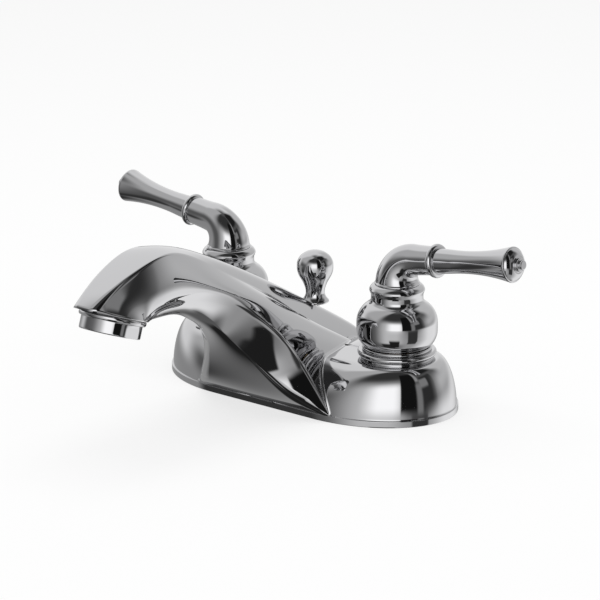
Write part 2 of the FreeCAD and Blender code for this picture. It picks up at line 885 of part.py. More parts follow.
def make_seat_seal(name, side):
    s = size
    keep(name, stand(turned(name, [
        (s.disc_port_offset, s.cartridge_floor), (s.cartridge_radius, s.cartridge_floor),
        (s.cartridge_radius, seal_top()), (s.disc_port_offset, seal_top())]), side))


def make_disc(name, side, low):
    """Ceramic disc with two ports that line up when the valve is open."""
    s = size
    body = turned(name, [(0, low), (s.disc_radius, low),
                         (s.disc_radius, low + s.disc_thickness), (0, low + s.disc_thickness)])
    for number, offset in enumerate((s.disc_port_offset, -s.disc_port_offset)):
        round_hole(body, name + "_port_%d" % number, "XY_Plane", (0, offset),
                   s.disc_port_radius, None)
    keep(name, stand(body, side))


def make_cartridge_body(name, side):
    """Sleeve that holds the discs and guides the stem, with a head on the neck."""
    s = size
    stem = s.stem_radius + s.fit_gap
    collar_top = stem_foot() + s.collar_height + s.fit_gap
    head_top = s.neck_top + s.cartridge_head_height
    seal_end = s.stem_seal_height + s.stem_seal_thickness
    groove = s.cartridge_radius - 0.8
    groove_low = stem_foot() + 0.8
    body = turned(name, [
        (s.disc_radius + s.fit_gap, seal_top()),
        (s.cartridge_radius, seal_top()),
        (s.cartridge_radius, groove_low),
        (groove, groove_low),
        (groove, collar_top),
        (s.cartridge_radius, collar_top),
        (s.cartridge_radius, s.neck_top),
        (s.cartridge_head_radius, s.neck_top),
        (s.cartridge_head_radius, head_top),
        (stem, head_top),
        (stem, seal_end),
        (s.stem_seal_radius, seal_end),
        (s.stem_seal_radius, s.stem_seal_height),
        (stem, s.stem_seal_height),
        (stem, collar_top),
        (s.chamber_ring_radius, collar_top),
        (s.chamber_ring_radius, stem_foot()),
        (s.disc_radius + s.fit_gap, stem_foot()),
    ])
    level = stem_foot() + s.collar_height / 2
    round_hole(body, name + "_windows", "XZ_Plane", (0, level), s.window_radius, None)
    keep(name, stand(body, side))


def make_stem_seal(name, side):
    s = size
    bore = s.stem_radius + s.fit_gap
    top = s.stem_seal_height + s.stem_seal_thickness
    keep(name, stand(turned(name, [
        (bore, s.stem_seal_height), (s.stem_seal_radius, s.stem_seal_height),
        (s.stem_seal_radius, top), (bore, top)]), side))


def make_cartridge_stem(name, side):
    s = size
    collar_top = stem_foot() + s.collar_height
    keep(name, stand(turned(name, [
        (0, stem_foot()), (s.stem_collar_radius, stem_foot()),
        (s.stem_collar_radius, collar_top), (s.stem_radius, collar_top),
        (s.stem_radius, s.stem_top), (0, s.stem_top)]), side))


def make_bonnet_nut(name, side):
    """Hexagon nut that clamps the casting down on the valve cup."""
    s = size
    hexagon = doc.addObject("Part::Prism", name + "_hexagon")
    hexagon.Polygon = 6
    bind(hexagon, "Circumradius", s.nut_radius)
    bind(hexagon, "Height", s.nut_height)
    bore = doc.addObject("Part::Cylinder", name + "_bore")
    bind(bore, "Radius", s.neck_radius + s.fit_gap)
    bind(bore, "Height", s.nut_height)
    nut = doc.addObject("Part::Cut", name + "_cut")
    nut.Base = hexagon
    nut.Tool = bore
    stand(nut, side)
    bind(nut, "Placement.Base.z", s.mound_height)
    keep(name, nut)


def make_trim_ring(name, side):
    """Chrome ring of three beads that hides the nut under the handle."""
    s = size
    corners = [(s.trim_bore_radius, s.mound_height), (s.trim_radius, s.mound_height)]
    for bead in (1, 2, 3):
        corners.append((s.trim_radius, s.mound_height + s.trim_bead_height * bead,
                        s.trim_bead_height * 0.51, 1))
    corners.append((s.trim_bore_radius, s.mound_height + s.trim_bead_height * 3))
    keep(name, stand(turned(name, corners), side))


def make_mounting_washer(name, side):
    s = size
    bore = s.shank_radius + s.clear_gap
    top = -s.deck_thickness
    low = top - s.mounting_washer_thickness
    keep(name, stand(turned(name, [(bore, low), (s.mounting_washer_radius, low),
                                   (s.mounting_washer_radius, top), (bore, top)]), side))


def make_mounting_nut(name, side):
    """Brass nut on the shank that pulls the faucet down on the deck."""
    s = size
    hexagon = doc.addObject("Part::Prism", name + "_hexagon")
    hexagon.Polygon = 6
    bind(hexagon, "Circumradius", s.mounting_nut_corner_radius)
    bind(hexagon, "Height", s.mounting_nut_height)
    bore = doc.addObject("Part::Cylinder", name + "_bore")
    bind(bore, "Radius", s.shank_radius + s.fit_gap)
    bind(bore, "Height", s.mounting_nut_height)
    nut = doc.addObject("Part::Cut", name + "_cut")
    nut.Base = hexagon
    nut.Tool = bore
    stand(nut, side)
    bind(nut, "Placement.Base.z",
         -(s.deck_thickness + s.mounting_washer_thickness + s.mounting_nut_height))
    keep(name, nut)


def cylinder(name, radius, height):
    bar = doc.addObject("Part::Cylinder", name)
    bind(bar, "Radius", radius)
    bind(bar, "Height", height)
    return bar


def cut_away(name, base, tools):
    """Part::Cut of several tools, one after another."""
    result = base
    for number, tool in enumerate(tools):
        cut = doc.addObject("Part::Cut", "%s_cut_%d" % (name, number))
        cut.Base = result
        cut.Tool = tool
        result = cut
    return result


def make_supply_tube(name, side):
    """Copper tube from the valve cup to the tee, trimmed to the round cup."""
    s = size
    run = s.handle_spacing / 2 - s.tee_length / 2
    outer = cylinder(name + "_outer", s.tube_radius, run)
    inner = cylinder(name + "_inner", s.tube_radius - s.tube_wall, run)
    cup = cylinder(name + "_cup", s.cup_radius + s.fit_gap, roof())
    for bar in (outer, inner):
        bar.Placement = Placement(Vector(0, 0, 0), Rotation(Vector(0, 1, 0), side * 90))
        bind(bar, "Placement.Base.x", s.tee_length / 2 * side)
        bind(bar, "Placement.Base.y", -s.tube_forward)
        bind(bar, "Placement.Base.z", s.tube_height)
    bind(cup, "Placement.Base.x", s.handle_spacing / 2 * side)
    keep(name, cut_away(name, outer, [inner, cup]))


def make_mixing_tee():
    """Brass block where both supplies meet below the spout tube."""
    s = size
    name = "mixing_tee"
    block = doc.addObject("Part::Box", name + "_block")
    bind(block, "Length", s.tee_length)
    bind(block, "Width", s.tee_width)
    bind(block, "Height", s.tee_height)
    bind(block, "Placement.Base.x", -s.tee_length / 2)
    bind(block, "Placement.Base.y", -(s.tube_forward + s.tee_width / 2))
    bind(block, "Placement.Base.z", s.tube_height - s.tee_height / 2)
    through = cylinder(name + "_through", s.tube_radius - s.tube_wall, s.tee_length)
    through.Placement = Placement(Vector(0, 0, 0), Rotation(Vector(0, 1, 0), 90))
    bind(through, "Placement.Base.x", -s.tee_length / 2)
    bind(through, "Placement.Base.y", -s.tube_forward)
    bind(through, "Placement.Base.z", s.tube_height)
    riser = cylinder(name + "_riser", s.spout_tube_radius - s.tube_wall, s.tee_height / 2)
    bind(riser, "Placement.Base.y", -s.tube_forward)
    bind(riser, "Placement.Base.z", s.tube_height)
    keep(name, cut_away(name, block, [through, riser]))


def make_spout_tube():
    radius = size.spout_tube_radius.value
    path = water_path(size.chamber_radius.value - 1)
    tube = piped(path, radius).cut(piped(path, radius - size.tube_wall.value))
    shaped("spout_tube", tube)


# Outlet, turned about its own axis and then tilted with the nose

def on_nose(thing):
    thing.Placement = Placement(nose_point(0, 0),
                                Rotation(Vector(1, 0, 0), -size.nose_tilt.value))
    bind(thing, "Placement.Base.y", -size.spout_reach)
    bind(thing, "Placement.Base.z", size.nose_height)
    bind(thing, "Placement.Rotation.Angle", -size.nose_tilt)
    return thing


def outlet_foot():
    return -(size.outlet_bead_height + size.outlet_height)


def screen_low():
    return outlet_foot() + size.outlet_lip


def screen_top():
    return size.thread_depth - size.washer_thickness


def make_aerator_housing():
    """Threaded ring with a bead against the nose and two flats for a wrench."""
    s = size
    name = "aerator_housing"
    thread = s.thread_radius - s.fit_gap
    bore = s.screen_radius + s.fit_gap
    body = turned(name, [
        (s.outlet_mouth_radius, outlet_foot()),
        (s.outlet_radius - 0.6, outlet_foot()),
        (s.outlet_radius, outlet_foot() + 0.6, 0.65, 1),
        (s.outlet_radius, -s.outlet_bead_height),
        (s.outlet_bead_radius, -s.outlet_bead_height),
        (s.outlet_bead_radius, 0, s.outlet_bead_height * 0.7, 1),
        (thread, 0),
        (thread, screen_top()),
        (bore, screen_top()),
        (bore, screen_low()),
        (s.outlet_mouth_radius, screen_low()),
    ])
    before = body.Shape.Volume
    sketch = new_sketch(body, "XY_Plane", name + "_flats")
    for side in (1, -1):
        inner = s.flat_half_width * side
        outer = (s.outlet_radius + 1) * side
        square_outline(sketch, inner, outer, -s.outlet_radius, s.outlet_radius)
    sketch.AttachmentOffset = Placement(Vector(0, 0, outlet_foot().value), Rotation())
    bind(sketch, "AttachmentOffset.Base.z", outlet_foot())
    doc.recompute()
    flats = body.newObject("PartDesign::Pocket", name + "_wrench_flats")
    flats.Profile = sketch
    bind(flats, "Length", s.outlet_height * 0.86)
    flats.Reversed = True
    doc.recompute()
    if body.Shape.Volume > before - 0.01:
        raise RuntimeError("the wrench flats cut nothing")
    keep(name, on_nose(body))


def square_outline(sketch, left, right, low, high):
    """Adds a rectangle whose corners are bound to sheet lengths."""
    corners = [(left, low), (right, low), (right, high), (left, high)]
    lines = []
    for number, corner in enumerate(corners):
        start = corners[number - 1]
        lines.append(sketch.addGeometry(Part.LineSegment(
            millimetres(start[0], start[1], 0), millimetres(corner[0], corner[1], 0)), False))
    for number, corner in enumerate(corners):
        sketch.addConstraint(Sketcher.Constraint(
            "Coincident", lines[number - 1], 2, lines[number], 1))
        pin_point(sketch, lines[number], 2, corner[0], corner[1])


def make_aerator_screen():
    """Perforated plastic insert that mixes air into the water."""
    s = size
    name = "aerator_screen"
    top = screen_top()
    body = turned(name, [(0, screen_low()), (s.screen_radius, screen_low()),
                         (s.screen_radius, top), (0, top)])
    round_hole(body, name + "_middle_hole", "XY_Plane", (0, 0), s.screen_hole_radius, None)
    for ring, copies in ((0.27, 6), (0.51, 12), (0.74, 18)):
        hole = round_hole(body, name + "_hole_%d" % copies, "XY_Plane",
                          (s.screen_radius * ring, 0), s.screen_hole_radius, None)
        pattern = body.newObject("PartDesign::PolarPattern", name + "_ring_%d" % copies)
        pattern.Originals = [hole]
        pattern.Axis = (origin_plane(body, "Z_Axis"), [""])
        pattern.Angle = 360
        pattern.Occurrences = copies
        body.Tip = pattern
        doc.recompute()
    keep(name, on_nose(body))


def make_aerator_washer():
    s = size
    low = screen_top()
    top = s.thread_depth
    keep("aerator_washer", on_nose(turned("aerator_washer", [
        (s.washer_bore_radius, low), (s.screen_radius, low),
        (s.screen_radius, top), (s.washer_bore_radius, top)])))


# Handles. Each is modelled with its lever along +X and then turned to its side

def make_handle_hub(name, side):
    """Bell over the valve, with a neck and a flange that carries the arm."""
    s = size
    low = s.mound_height + s.trim_bead_height * 3 + s.hub_gap
    socket = s.stem_radius + s.fit_gap
    inner_belly = s.hub_belly_radius - s.hub_wall
    inner_floor = s.hub_neck_radius - s.hub_wall * 1.2
    shoulder_hollow = s.hub_neck_height - s.hub_shoulder_height
    body = turned(name, [
        (s.hub_lip_radius - s.hub_wall, low, s.hub_lip_round - s.hub_wall, -1),
        (s.hub_lip_radius, low),
        (s.hub_belly_radius, s.hub_belly_low, s.hub_lip_round, 1),
        (s.hub_belly_radius, s.hub_belly_high),
        (s.hub_shoulder_radius, s.hub_shoulder_height, s.hub_round_radius, 1),
        (s.hub_neck_radius, s.hub_neck_height, shoulder_hollow * 1.4, -1),
        (s.hub_neck_radius, s.hub_flange_height - 2),
        (s.hub_flange_radius, s.hub_flange_height),
        (s.hub_top_radius, s.hub_top, 4, 1),
        (0, s.hub_top),
        (0, s.stem_top + s.clear_gap),
        (socket, s.stem_top + s.clear_gap),
        (socket, s.hub_floor),
        (inner_floor, s.hub_floor),
        (s.hub_shoulder_radius - 1, s.hub_shoulder_height - s.hub_wall),
        (inner_belly, s.hub_belly_high, s.hub_round_radius - s.hub_wall, -1),
        (inner_belly, s.hub_belly_low),
    ])
    round_hole(body, name + "_screw_hole", "XZ_Plane", (0, screw_height()),
               s.screw_radius + s.fit_gap, s.hub_flange_radius)
    keep(name, stand(body, side))


def screw_height():
    return (size.hub_neck_height + size.hub_flange_height) / 2


def make_set_screw(name, side):
    """Grub screw at the back of the hub that grips the stem."""
    s = size
    reach = s.screw_length
    body = turned(name, [
        (0, 0), (s.screw_radius, 0), (s.screw_radius, reach), (s.screw_socket_radius, reach),
        (s.screw_socket_radius, reach - s.screw_socket_depth), (0, reach - s.screw_socket_depth)])
    body.Placement = Placement(
        Vector(side * s.handle_spacing.value / 2, 0, 0), Rotation(Vector(1, 0, 0), -90))
    bind(body, "Placement.Base.x", s.handle_spacing * (side / 2))
    bind(body, "Placement.Base.y", s.stem_radius + s.fit_gap)
    bind(body, "Placement.Base.z", screw_height())
    keep(name, body)


def ring_sketch(body, name, radius, across, height, angle):
    """Circle on a plane that is tipped by angle towards +X."""
    sketch = new_sketch(body, "XY_Plane", name)
    index = sketch.addGeometry(
        Part.Circle(Vector(0, 0, 0), Vector(0, 0, 1), radius.value), False)
    pin_point(sketch, index, 3, 0, 0)
    rule = sketch.addConstraint(Sketcher.Constraint("Radius", index, radius.value))
    sketch.setExpression("Constraints[%d]" % rule, radius.text)
    across, height, angle = sized(across), sized(height), sized(angle)
    sketch.AttachmentOffset = Placement(Vector(across.value, 0, height.value),
                                        Rotation(Vector(0, 1, 0), angle.value))
    bind(sketch, "AttachmentOffset.Base.x", across)
    bind(sketch, "AttachmentOffset.Base.z", height)
    if angle.value:
        bind(sketch, "AttachmentOffset.Rotation.Angle", angle)
    return sketch


def lever_turn(side):
    return 0 if side > 0 else 180


def make_handle_arm(name, side):
    """Elbow that rises from the hub, bends over and thins towards the collar."""
    s = size
    bend = sized(90) - s.lever_tilt
    run = s.arm_bend_radius * tangent(bend / 2)
    springing = s.lever_height - run
    body = new_body(name)
    rings = [ring_sketch(body, name + "_foot", s.arm_radius, 0, s.hub_top, 0)]
    for number, share in enumerate((0.0, 0.33, 0.66, 1.0)):
        angle = bend * share
        across = s.arm_bend_radius - s.arm_bend_radius * cosine(angle)
        height = springing + s.arm_bend_radius * sine(angle)
        radius = s.arm_radius + (s.arm_end_radius - s.arm_radius) * (0.02, 0.28, 0.58, 0.82)[number]
        rings.append(ring_sketch(body, name + "_bend_%d" % number, radius, across, height, angle))
    rings.append(ring_sketch(
        body, name + "_end", s.arm_end_radius, s.collar_start * cosine(s.lever_tilt),
        s.lever_height + s.collar_start * sine(s.lever_tilt), bend))
    doc.recompute()
    loft = body.newObject("PartDesign::AdditiveLoft", name + "_loft")
    loft.Profile = rings[0]
    loft.Sections = rings[1:]
    doc.recompute()
    keep(name, stand(body, side, lever_turn(side)))


def along_lever(name, side, corners):
    lean = (size.lever_height, size.lever_tilt)
    keep(name, stand(turned(name, corners, lean), side, lever_turn(side)))


def collar_end():
    return size.collar_start + size.collar_width


def make_handle_collar(name, side):
    s = size
    shoulder = s.collar_radius - s.collar_width * 0.4
    along_lever(name, side, [
        (s.collar_start, 0), (collar_end(), 0), (collar_end(), shoulder),
        (s.collar_start, shoulder, s.collar_width * 0.52, 1)])


def make_handle_grip(name, side):
    """Grip that narrows past the collar and flares to its end."""
    s = size
    along_lever(name, side, [
        (collar_end(), 0),
        (s.grip_end, 0),
        (s.grip_end, s.grip_end_radius - s.grip_rim),
        (s.grip_end - s.grip_rim, s.grip_end_radius, s.grip_rim, 1),
        (s.grip_waist_distance, s.grip_waist_radius, s.grip_flare_radius, -1),
        (collar_end(), s.grip_root_radius),
    ])


def make_handle_button(name, side):
    """Stepped button that closes the end of the grip."""
    s = size
    dome = s.grip_end + s.button_dome_length
    step = dome + s.button_step_length
    tip = step + s.button_tip_length
    along_lever(name, side, [
        (s.grip_end, 0),
        (tip, 0),
        (tip, s.button_tip_radius),
        (step, s.button_tip_radius),
        (step, s.button_step_radius),
        (dome, s.button_step_radius),
        (dome, s.button_dome_radius),
        (s.grip_end, s.grip_end_radius - s.grip_rim, s.button_base_radius, 1),
    ])


# Lift rod of the waste

def on_rod(thing):
    bind(thing, "Placement.Base.y", size.rod_back)
    return thing


def make_lift_rod():
    s = size
    top = s.knob_foot + s.knob_bore_depth - s.fit_gap
    keep("lift_rod", on_rod(turned("lift_rod", [
        (0, -s.rod_below_deck), (s.rod_radius, -s.rod_below_deck),
        (s.rod_radius, top), (0, top)])))


def make_lift_knob():
    """Pear-shaped knob with a flared foot and a blind bore for the rod."""
    s = size
    foot = s.knob_foot
    bore = s.rod_radius + s.fit_gap
    ball = foot + s.knob_ball_rise
    top = foot + s.knob_height
    cap = s.knob_height - s.knob_ball_rise
    keep("lift_knob", on_rod(turned("lift_knob", [
        (bore, foot),
        (s.knob_foot_radius, foot),
        (s.knob_foot_radius, foot + 0.8),
        (s.knob_neck_radius, foot + s.knob_neck_rise, s.knob_neck_rise, -1),
        (s.knob_ball_radius - 1.2, ball - cap * 0.7, s.knob_ball_rise, -1),
        (s.knob_ball_radius, ball, s.knob_ball_radius * 1.3, 1),
        (s.knob_ball_radius * 0.66, top - cap * 0.22, cap * 0.98, 1),
        (s.knob_tip_radius, top, s.knob_ball_radius * 1.35, 1),
        (0, top),
        (0, foot + s.knob_bore_depth),
        (bore, foot + s.knob_bore_depth),
    ])))


def make_rod_bushing():
    s = size
    low = s.bushing_top - s.bushing_length
    bore = s.rod_radius + s.fit_gap
    keep("rod_bushing", on_rod(turned("rod_bushing", [
        (bore, low), (s.bushing_radius, low),
        (s.bushing_radius, s.bushing_top), (bore, s.bushing_top)])))


make_casting()
make_base_plate()
make_mixing_tee()
make_spout_tube()
make_aerator_housing()
make_aerator_screen()
make_aerator_washer()
make_lift_rod()
make_lift_knob()
make_rod_bushing()
for word, side in sides():
    make_valve_body(word + "_valve_body", side)
    make_supply_tube(word + "_supply_tube", side)
    make_seat_seal(word + "_seat_seal", side)
    make_disc(word + "_fixed_disc", side, seal_top())
    make_disc(word + "_moving_disc", side, disc_top() + size.fit_gap)
    make_cartridge_body(word + "_cartridge_body", side)
    make_stem_seal(word + "_stem_seal", side)
    make_cartridge_stem(word + "_cartridge_stem", side)
    make_bonnet_nut(word + "_bonnet_nut", side)
    make_trim_ring(word + "_trim_ring", side)
    make_mounting_washer(word + "_mounting_washer", side)
    make_mounting_nut(word + "_mounting_nut", side)
    make_handle_hub(word + "_handle_hub", side)
    make_set_screw(word + "_set_screw", side)
    make_handle_arm(word + "_handle_arm", side)
    make_handle_collar(word + "_handle_collar", side)
    make_handle_grip(word + "_handle_grip", side)
    make_handle_button(word + "_handle_button", side)

doc.recompute()
for thing in doc.Objects:
    if "Invalid" in thing.State or "Error" in thing.State:
        raise RuntimeError(thing.Name + " failed: " + str(thing.State))
for node in nodes:
    if node.Shape.isNull() or not node.Shape.isValid():
        raise RuntimeError(node.Label + " has no valid shape")

os.makedirs("parts", exist_ok=True)
for node in nodes:
    node.Shape.exportStep("parts/" + node.Label + ".step")
    print(node.Label, len(node.Shape.Solids), "solids", round(node.Shape.Volume), "mm3")
print(len(nodes), "sub-parts")
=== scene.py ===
# %% [markdown]
# # A centerset bathroom faucet in polished chrome
#
# The CAD model of this basin faucet is already packed: every piece has its real size, its
# place and the body that it moves with. This lesson gives it its looks. The frame stays
# fixed. A smooth piece takes the place of each CAD piece that shows, and the others keep
# their CAD shape and get a better finish.

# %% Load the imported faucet
import json
import math

import bmesh
import bpy
import numpy as np
from mathutils import Matrix, Vector
from mathutils.bvhtree import BVHTree

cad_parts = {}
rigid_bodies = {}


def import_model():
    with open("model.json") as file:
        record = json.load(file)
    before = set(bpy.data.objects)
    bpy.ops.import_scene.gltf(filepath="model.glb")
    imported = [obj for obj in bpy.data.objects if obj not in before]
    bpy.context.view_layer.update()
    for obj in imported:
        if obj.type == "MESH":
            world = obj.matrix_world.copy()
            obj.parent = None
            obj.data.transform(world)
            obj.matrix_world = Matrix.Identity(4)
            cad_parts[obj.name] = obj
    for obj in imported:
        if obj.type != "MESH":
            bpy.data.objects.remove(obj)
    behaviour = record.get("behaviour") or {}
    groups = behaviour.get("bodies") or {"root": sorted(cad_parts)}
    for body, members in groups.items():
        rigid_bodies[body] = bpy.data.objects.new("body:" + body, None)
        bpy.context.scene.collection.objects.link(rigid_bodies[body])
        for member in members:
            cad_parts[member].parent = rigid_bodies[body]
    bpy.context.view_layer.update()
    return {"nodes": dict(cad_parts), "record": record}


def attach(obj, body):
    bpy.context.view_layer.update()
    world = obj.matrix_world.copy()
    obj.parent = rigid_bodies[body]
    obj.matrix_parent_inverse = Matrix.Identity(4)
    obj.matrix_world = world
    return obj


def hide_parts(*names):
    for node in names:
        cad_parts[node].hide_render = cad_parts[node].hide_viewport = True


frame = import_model()
MM = 0.001

# %% [markdown]
# ## Camera
#
# The picture was taken from in front of the cold handle and a little above it, with a long
# lens. A camera could be placed by eye, but the distance between the handles is known
# (101.6 mm), so its place, its lens and its small roll were solved from that.

# %% Place the camera
CAMERA_AZIMUTH = math.radians(40.5)
CAMERA_ELEVATION = math.radians(16.65)
CAMERA_ROLL = math.radians(-0.43)
CAMERA_DISTANCE = 1254.1 * MM
CAMERA_LENS = 163.1
CAMERA_CLIP_END = 20
AIM_POINT = Vector((0, -15, 40)) * MM
# Slopes by which the view turns aside and up from the aim point.
AIM_ACROSS = 0.0036
AIM_UP = 0.0043

back = Vector((math.sin(CAMERA_AZIMUTH) * math.cos(CAMERA_ELEVATION),
               -math.cos(CAMERA_AZIMUTH) * math.cos(CAMERA_ELEVATION),
               math.sin(CAMERA_ELEVATION)))
right = Vector((math.cos(CAMERA_AZIMUTH), math.sin(CAMERA_AZIMUTH), 0))
forward = (right * AIM_ACROSS + back.cross(right) * AIM_UP - back).normalized()
level = forward.cross(Vector((0, 0, 1))).normalized()
turned = Matrix((level, level.cross(forward), -forward)).transposed()
turned = turned @ Matrix.Rotation(CAMERA_ROLL, 3, "Z")
camera = bpy.data.objects.new("camera", bpy.data.cameras.new("camera"))
camera.data.lens = CAMERA_LENS
camera.data.clip_end = CAMERA_CLIP_END
camera.matrix_world = Matrix.Translation(AIM_POINT + back * CAMERA_DISTANCE) @ turned.to_4x4()
bpy.context.scene.collection.objects.link(camera)
bpy.context.scene.camera = camera
bpy.context.scene.view_settings.view_transform = "Standard"
print("camera at", [round(v, 3) for v in camera.location])

# %% [markdown]
# ## Finishes
#
# Chrome is a mirror, so its colour is almost all reflection. What makes it look real is what
# breaks the mirror a little: polishing lines, a faint waviness of the casting under the
# plating, and the smears that wiping leaves. One node group holds all three. It is built once,
# as are the groups for turned and for moulded surfaces, and every material that needs a group
# gets it with its own values.

# %% Helpers for node trees
def new_group(name, inputs, outputs):
    """A shader node group with float inputs (name, default) and outputs (name, kind)."""
    group = bpy.data.node_groups.new(name, "ShaderNodeTree")
    for label, default in inputs:
        socket = group.interface.new_socket(label, in_out="INPUT", socket_type="NodeSocketFloat")
        socket.default_value = default
    for label, kind in outputs:
        group.interface.new_socket(label, in_out="OUTPUT", socket_type="NodeSocket" + kind)
    source = group.nodes.new("NodeGroupInput")
    drain = group.nodes.new("NodeGroupOutput")
    return group, source, drain


def add_node(tree, kind, **settings):
    node = tree.nodes.new("ShaderNode" + kind)
    for name, value in settings.items():
        setattr(node, name, value)
    return node


def add_math(tree, operation, first, second):
    node = add_node(tree, "Math", operation=operation)
    for place, value in enumerate((first, second)):
        if isinstance(value, (int, float)):
            node.inputs[place].default_value = value
        else:
            tree.links.new(value, node.inputs[place])
    return node.outputs[0]


def add_noise(tree, scale, detail, vector=None):
    node = add_node(tree, "TexNoise")
    node.inputs["Detail"].default_value = detail
    if isinstance(scale, (int, float)):
        node.inputs["Scale"].default_value = scale
    else:
        tree.links.new(scale, node.inputs["Scale"])
    if vector is not None:
        tree.links.new(vector, node.inputs["Vector"])
    return node.outputs["Fac"]


def object_place(tree):
    return add_node(tree, "TexCoord").outputs["Object"]


# %% Build the shared groups
# Places are in metres, so a noise scale of 38 makes patches of about 26 mm.
SMEAR_SCALE = 38.0
SMEAR_LOW = 0.48
SMEAR_HIGH = 0.72
LINE_ROUGHNESS = 0.012
LINE_HEIGHT = 0.02
RING_DISTORTION = 1.2
DIRT_SCALE = 70.0
TONE_SCALE = 45.0


def polish_group():
    """Roughness and height of a polished, plated surface that has been wiped dry."""
    group, source, drain = new_group(
        "plating_polish",
        (("Base Roughness", 0.03), ("Smear", 0.03), ("Wave Scale", 60.0), ("Line Scale", 900.0)),
        (("Roughness", "Float"), ("Height", "Float")))
    place = object_place(group)
    smear = add_noise(group, SMEAR_SCALE, 6.0, place)
    sharpened = add_node(group, "MapRange")
    sharpened.inputs["From Min"].default_value = SMEAR_LOW
    sharpened.inputs["From Max"].default_value = SMEAR_HIGH
    group.links.new(smear, sharpened.inputs["Value"])
    lines = add_noise(group, source.outputs["Line Scale"], 2.0, place)
    amount = add_math(group, "MULTIPLY", sharpened.outputs[0], source.outputs["Smear"])
    fine = add_math(group, "MULTIPLY", lines, LINE_ROUGHNESS)
    total = add_math(group, "ADD", add_math(group, "ADD", amount, fine),
                     source.outputs["Base Roughness"])
    group.links.new(total, drain.inputs["Roughness"])
    wave = add_noise(group, source.outputs["Wave Scale"], 1.0, place)
    ripple = add_math(group, "MULTIPLY", lines, LINE_HEIGHT)
    group.links.new(add_math(group, "ADD", wave, ripple), drain.inputs["Height"])
    return group


def turning_group():
    """Fine rings that a lathe leaves, stacked along one direction, with some dirt."""
    group, source, drain = new_group(
        "turning_marks", (("Ring Scale", 900.0), ("Dirt", 0.4)),
        (("Height", "Float"), ("Dirt", "Float")))
    place = object_place(group)
    rings = add_node(group, "TexWave", wave_type="BANDS", bands_direction="Z")
    rings.inputs["Distortion"].default_value = RING_DISTORTION
    rings.inputs["Detail"].default_value = 3.0
    group.links.new(place, rings.inputs["Vector"])
    group.links.new(source.outputs["Ring Scale"], rings.inputs["Scale"])
    group.links.new(rings.outputs["Fac"], drain.inputs["Height"])
    dirt = add_noise(group, DIRT_SCALE, 7.0, place)
    group.links.new(add_math(group, "MULTIPLY", dirt, source.outputs["Dirt"]),
                    drain.inputs["Dirt"])
    return group


def grain_group():
    """Even fine grain of a moulded or sintered surface, and a slow change of tone."""
    group, source, drain = new_group(
        "moulded_grain", (("Grain Scale", 1500.0), ("Tone", 0.2)),
        (("Height", "Float"), ("Tone", "Float")))
    place = object_place(group)
    grain = add_noise(group, source.outputs["Grain Scale"], 4.0, place)
    group.links.new(grain, drain.inputs["Height"])
    tone = add_noise(group, TONE_SCALE, 4.0, place)
    group.links.new(add_math(group, "MULTIPLY", tone, source.outputs["Tone"]),
                    drain.inputs["Tone"])
    return group


POLISH = polish_group()
TURNING = turning_group()
GRAIN = grain_group()
print("groups", [group.name for group in (POLISH, TURNING, GRAIN)])


# %% [markdown]
# Each material keeps its own Principled shader. A group only feeds it with values that
# change over the surface, through a colour mix, the roughness and a bump.

# %% Material maker
def new_material(name, group, values, colour, metallic, roughness, bump, depth,
                 dark=None, mask=None, shine=None):
    """A Principled material. mask names the group output that mixes dark into colour, and
    shine the one that drives the roughness. depth is how high the bump rises, in metres."""
    material = bpy.data.materials.new(name)
    material.use_nodes = True
    tree = material.node_tree
    shader = tree.nodes["Principled BSDF"]
    shader.inputs["Metallic"].default_value = metallic
    shader.inputs["Roughness"].default_value = roughness
    shader.inputs["Base Color"].default_value = colour + (1,)
    feed = tree.nodes.new("ShaderNodeGroup")
    feed.node_tree = group
    for label, value in values.items():
        feed.inputs[label].default_value = value
    if mask:
        tint = add_node(tree, "Mix", data_type="RGBA")
        tint.inputs["A"].default_value = colour + (1,)
        tint.inputs["B"].default_value = dark + (1,)
        tree.links.new(feed.outputs[mask], tint.inputs["Factor"])
        tree.links.new(tint.outputs["Result"], shader.inputs["Base Color"])
    if shine:
        tree.links.new(feed.outputs[shine], shader.inputs["Roughness"])
    relief = add_node(tree, "Bump")
    relief.inputs["Strength"].default_value = bump
    relief.inputs["Distance"].default_value = depth
    tree.links.new(feed.outputs["Height"], relief.inputs["Height"])
    tree.links.new(relief.outputs["Normal"], shader.inputs["Normal"])
    return material


chrome = new_material(
    "polished_chrome", POLISH,
    {"Base Roughness": 0.02, "Smear": 0.025, "Wave Scale": 55.0, "Line Scale": 900.0},
    (0.56, 0.56, 0.57), metallic=1.0, roughness=0.03, bump=0.12, depth=0.00006,
    shine="Roughness")
brass = new_material(
    "machined_brass", TURNING, {"Ring Scale": 700.0, "Dirt": 0.5},
    (0.72, 0.53, 0.26), metallic=1.0, roughness=0.30, bump=0.25, depth=0.00005,
    dark=(0.30, 0.19, 0.08), mask="Dirt")
copper = new_material(
    "drawn_copper", TURNING, {"Ring Scale": 90.0, "Dirt": 0.7},
    (0.78, 0.42, 0.28), metallic=1.0, roughness=0.28, bump=0.15, depth=0.00005,
    dark=(0.25, 0.11, 0.06), mask="Dirt")
steel = new_material(
    "zinc_plated_steel", GRAIN, {"Grain Scale": 900.0, "Tone": 0.5},
    (0.66, 0.67, 0.68), metallic=1.0, roughness=0.34, bump=0.3, depth=0.00004,
    dark=(0.38, 0.40, 0.43), mask="Tone")
ceramic = new_material(
    "lapped_ceramic", GRAIN, {"Grain Scale": 2500.0, "Tone": 0.15},
    (0.88, 0.87, 0.84), metallic=0.0, roughness=0.18, bump=0.1, depth=0.00002,
    dark=(0.7, 0.68, 0.62), mask="Tone")
rubber = new_material(
    "seal_rubber", GRAIN, {"Grain Scale": 1300.0, "Tone": 0.4},
    (0.03, 0.03, 0.032), metallic=0.0, roughness=0.75, bump=0.5, depth=0.00006,
    dark=(0.09, 0.09, 0.09), mask="Tone")
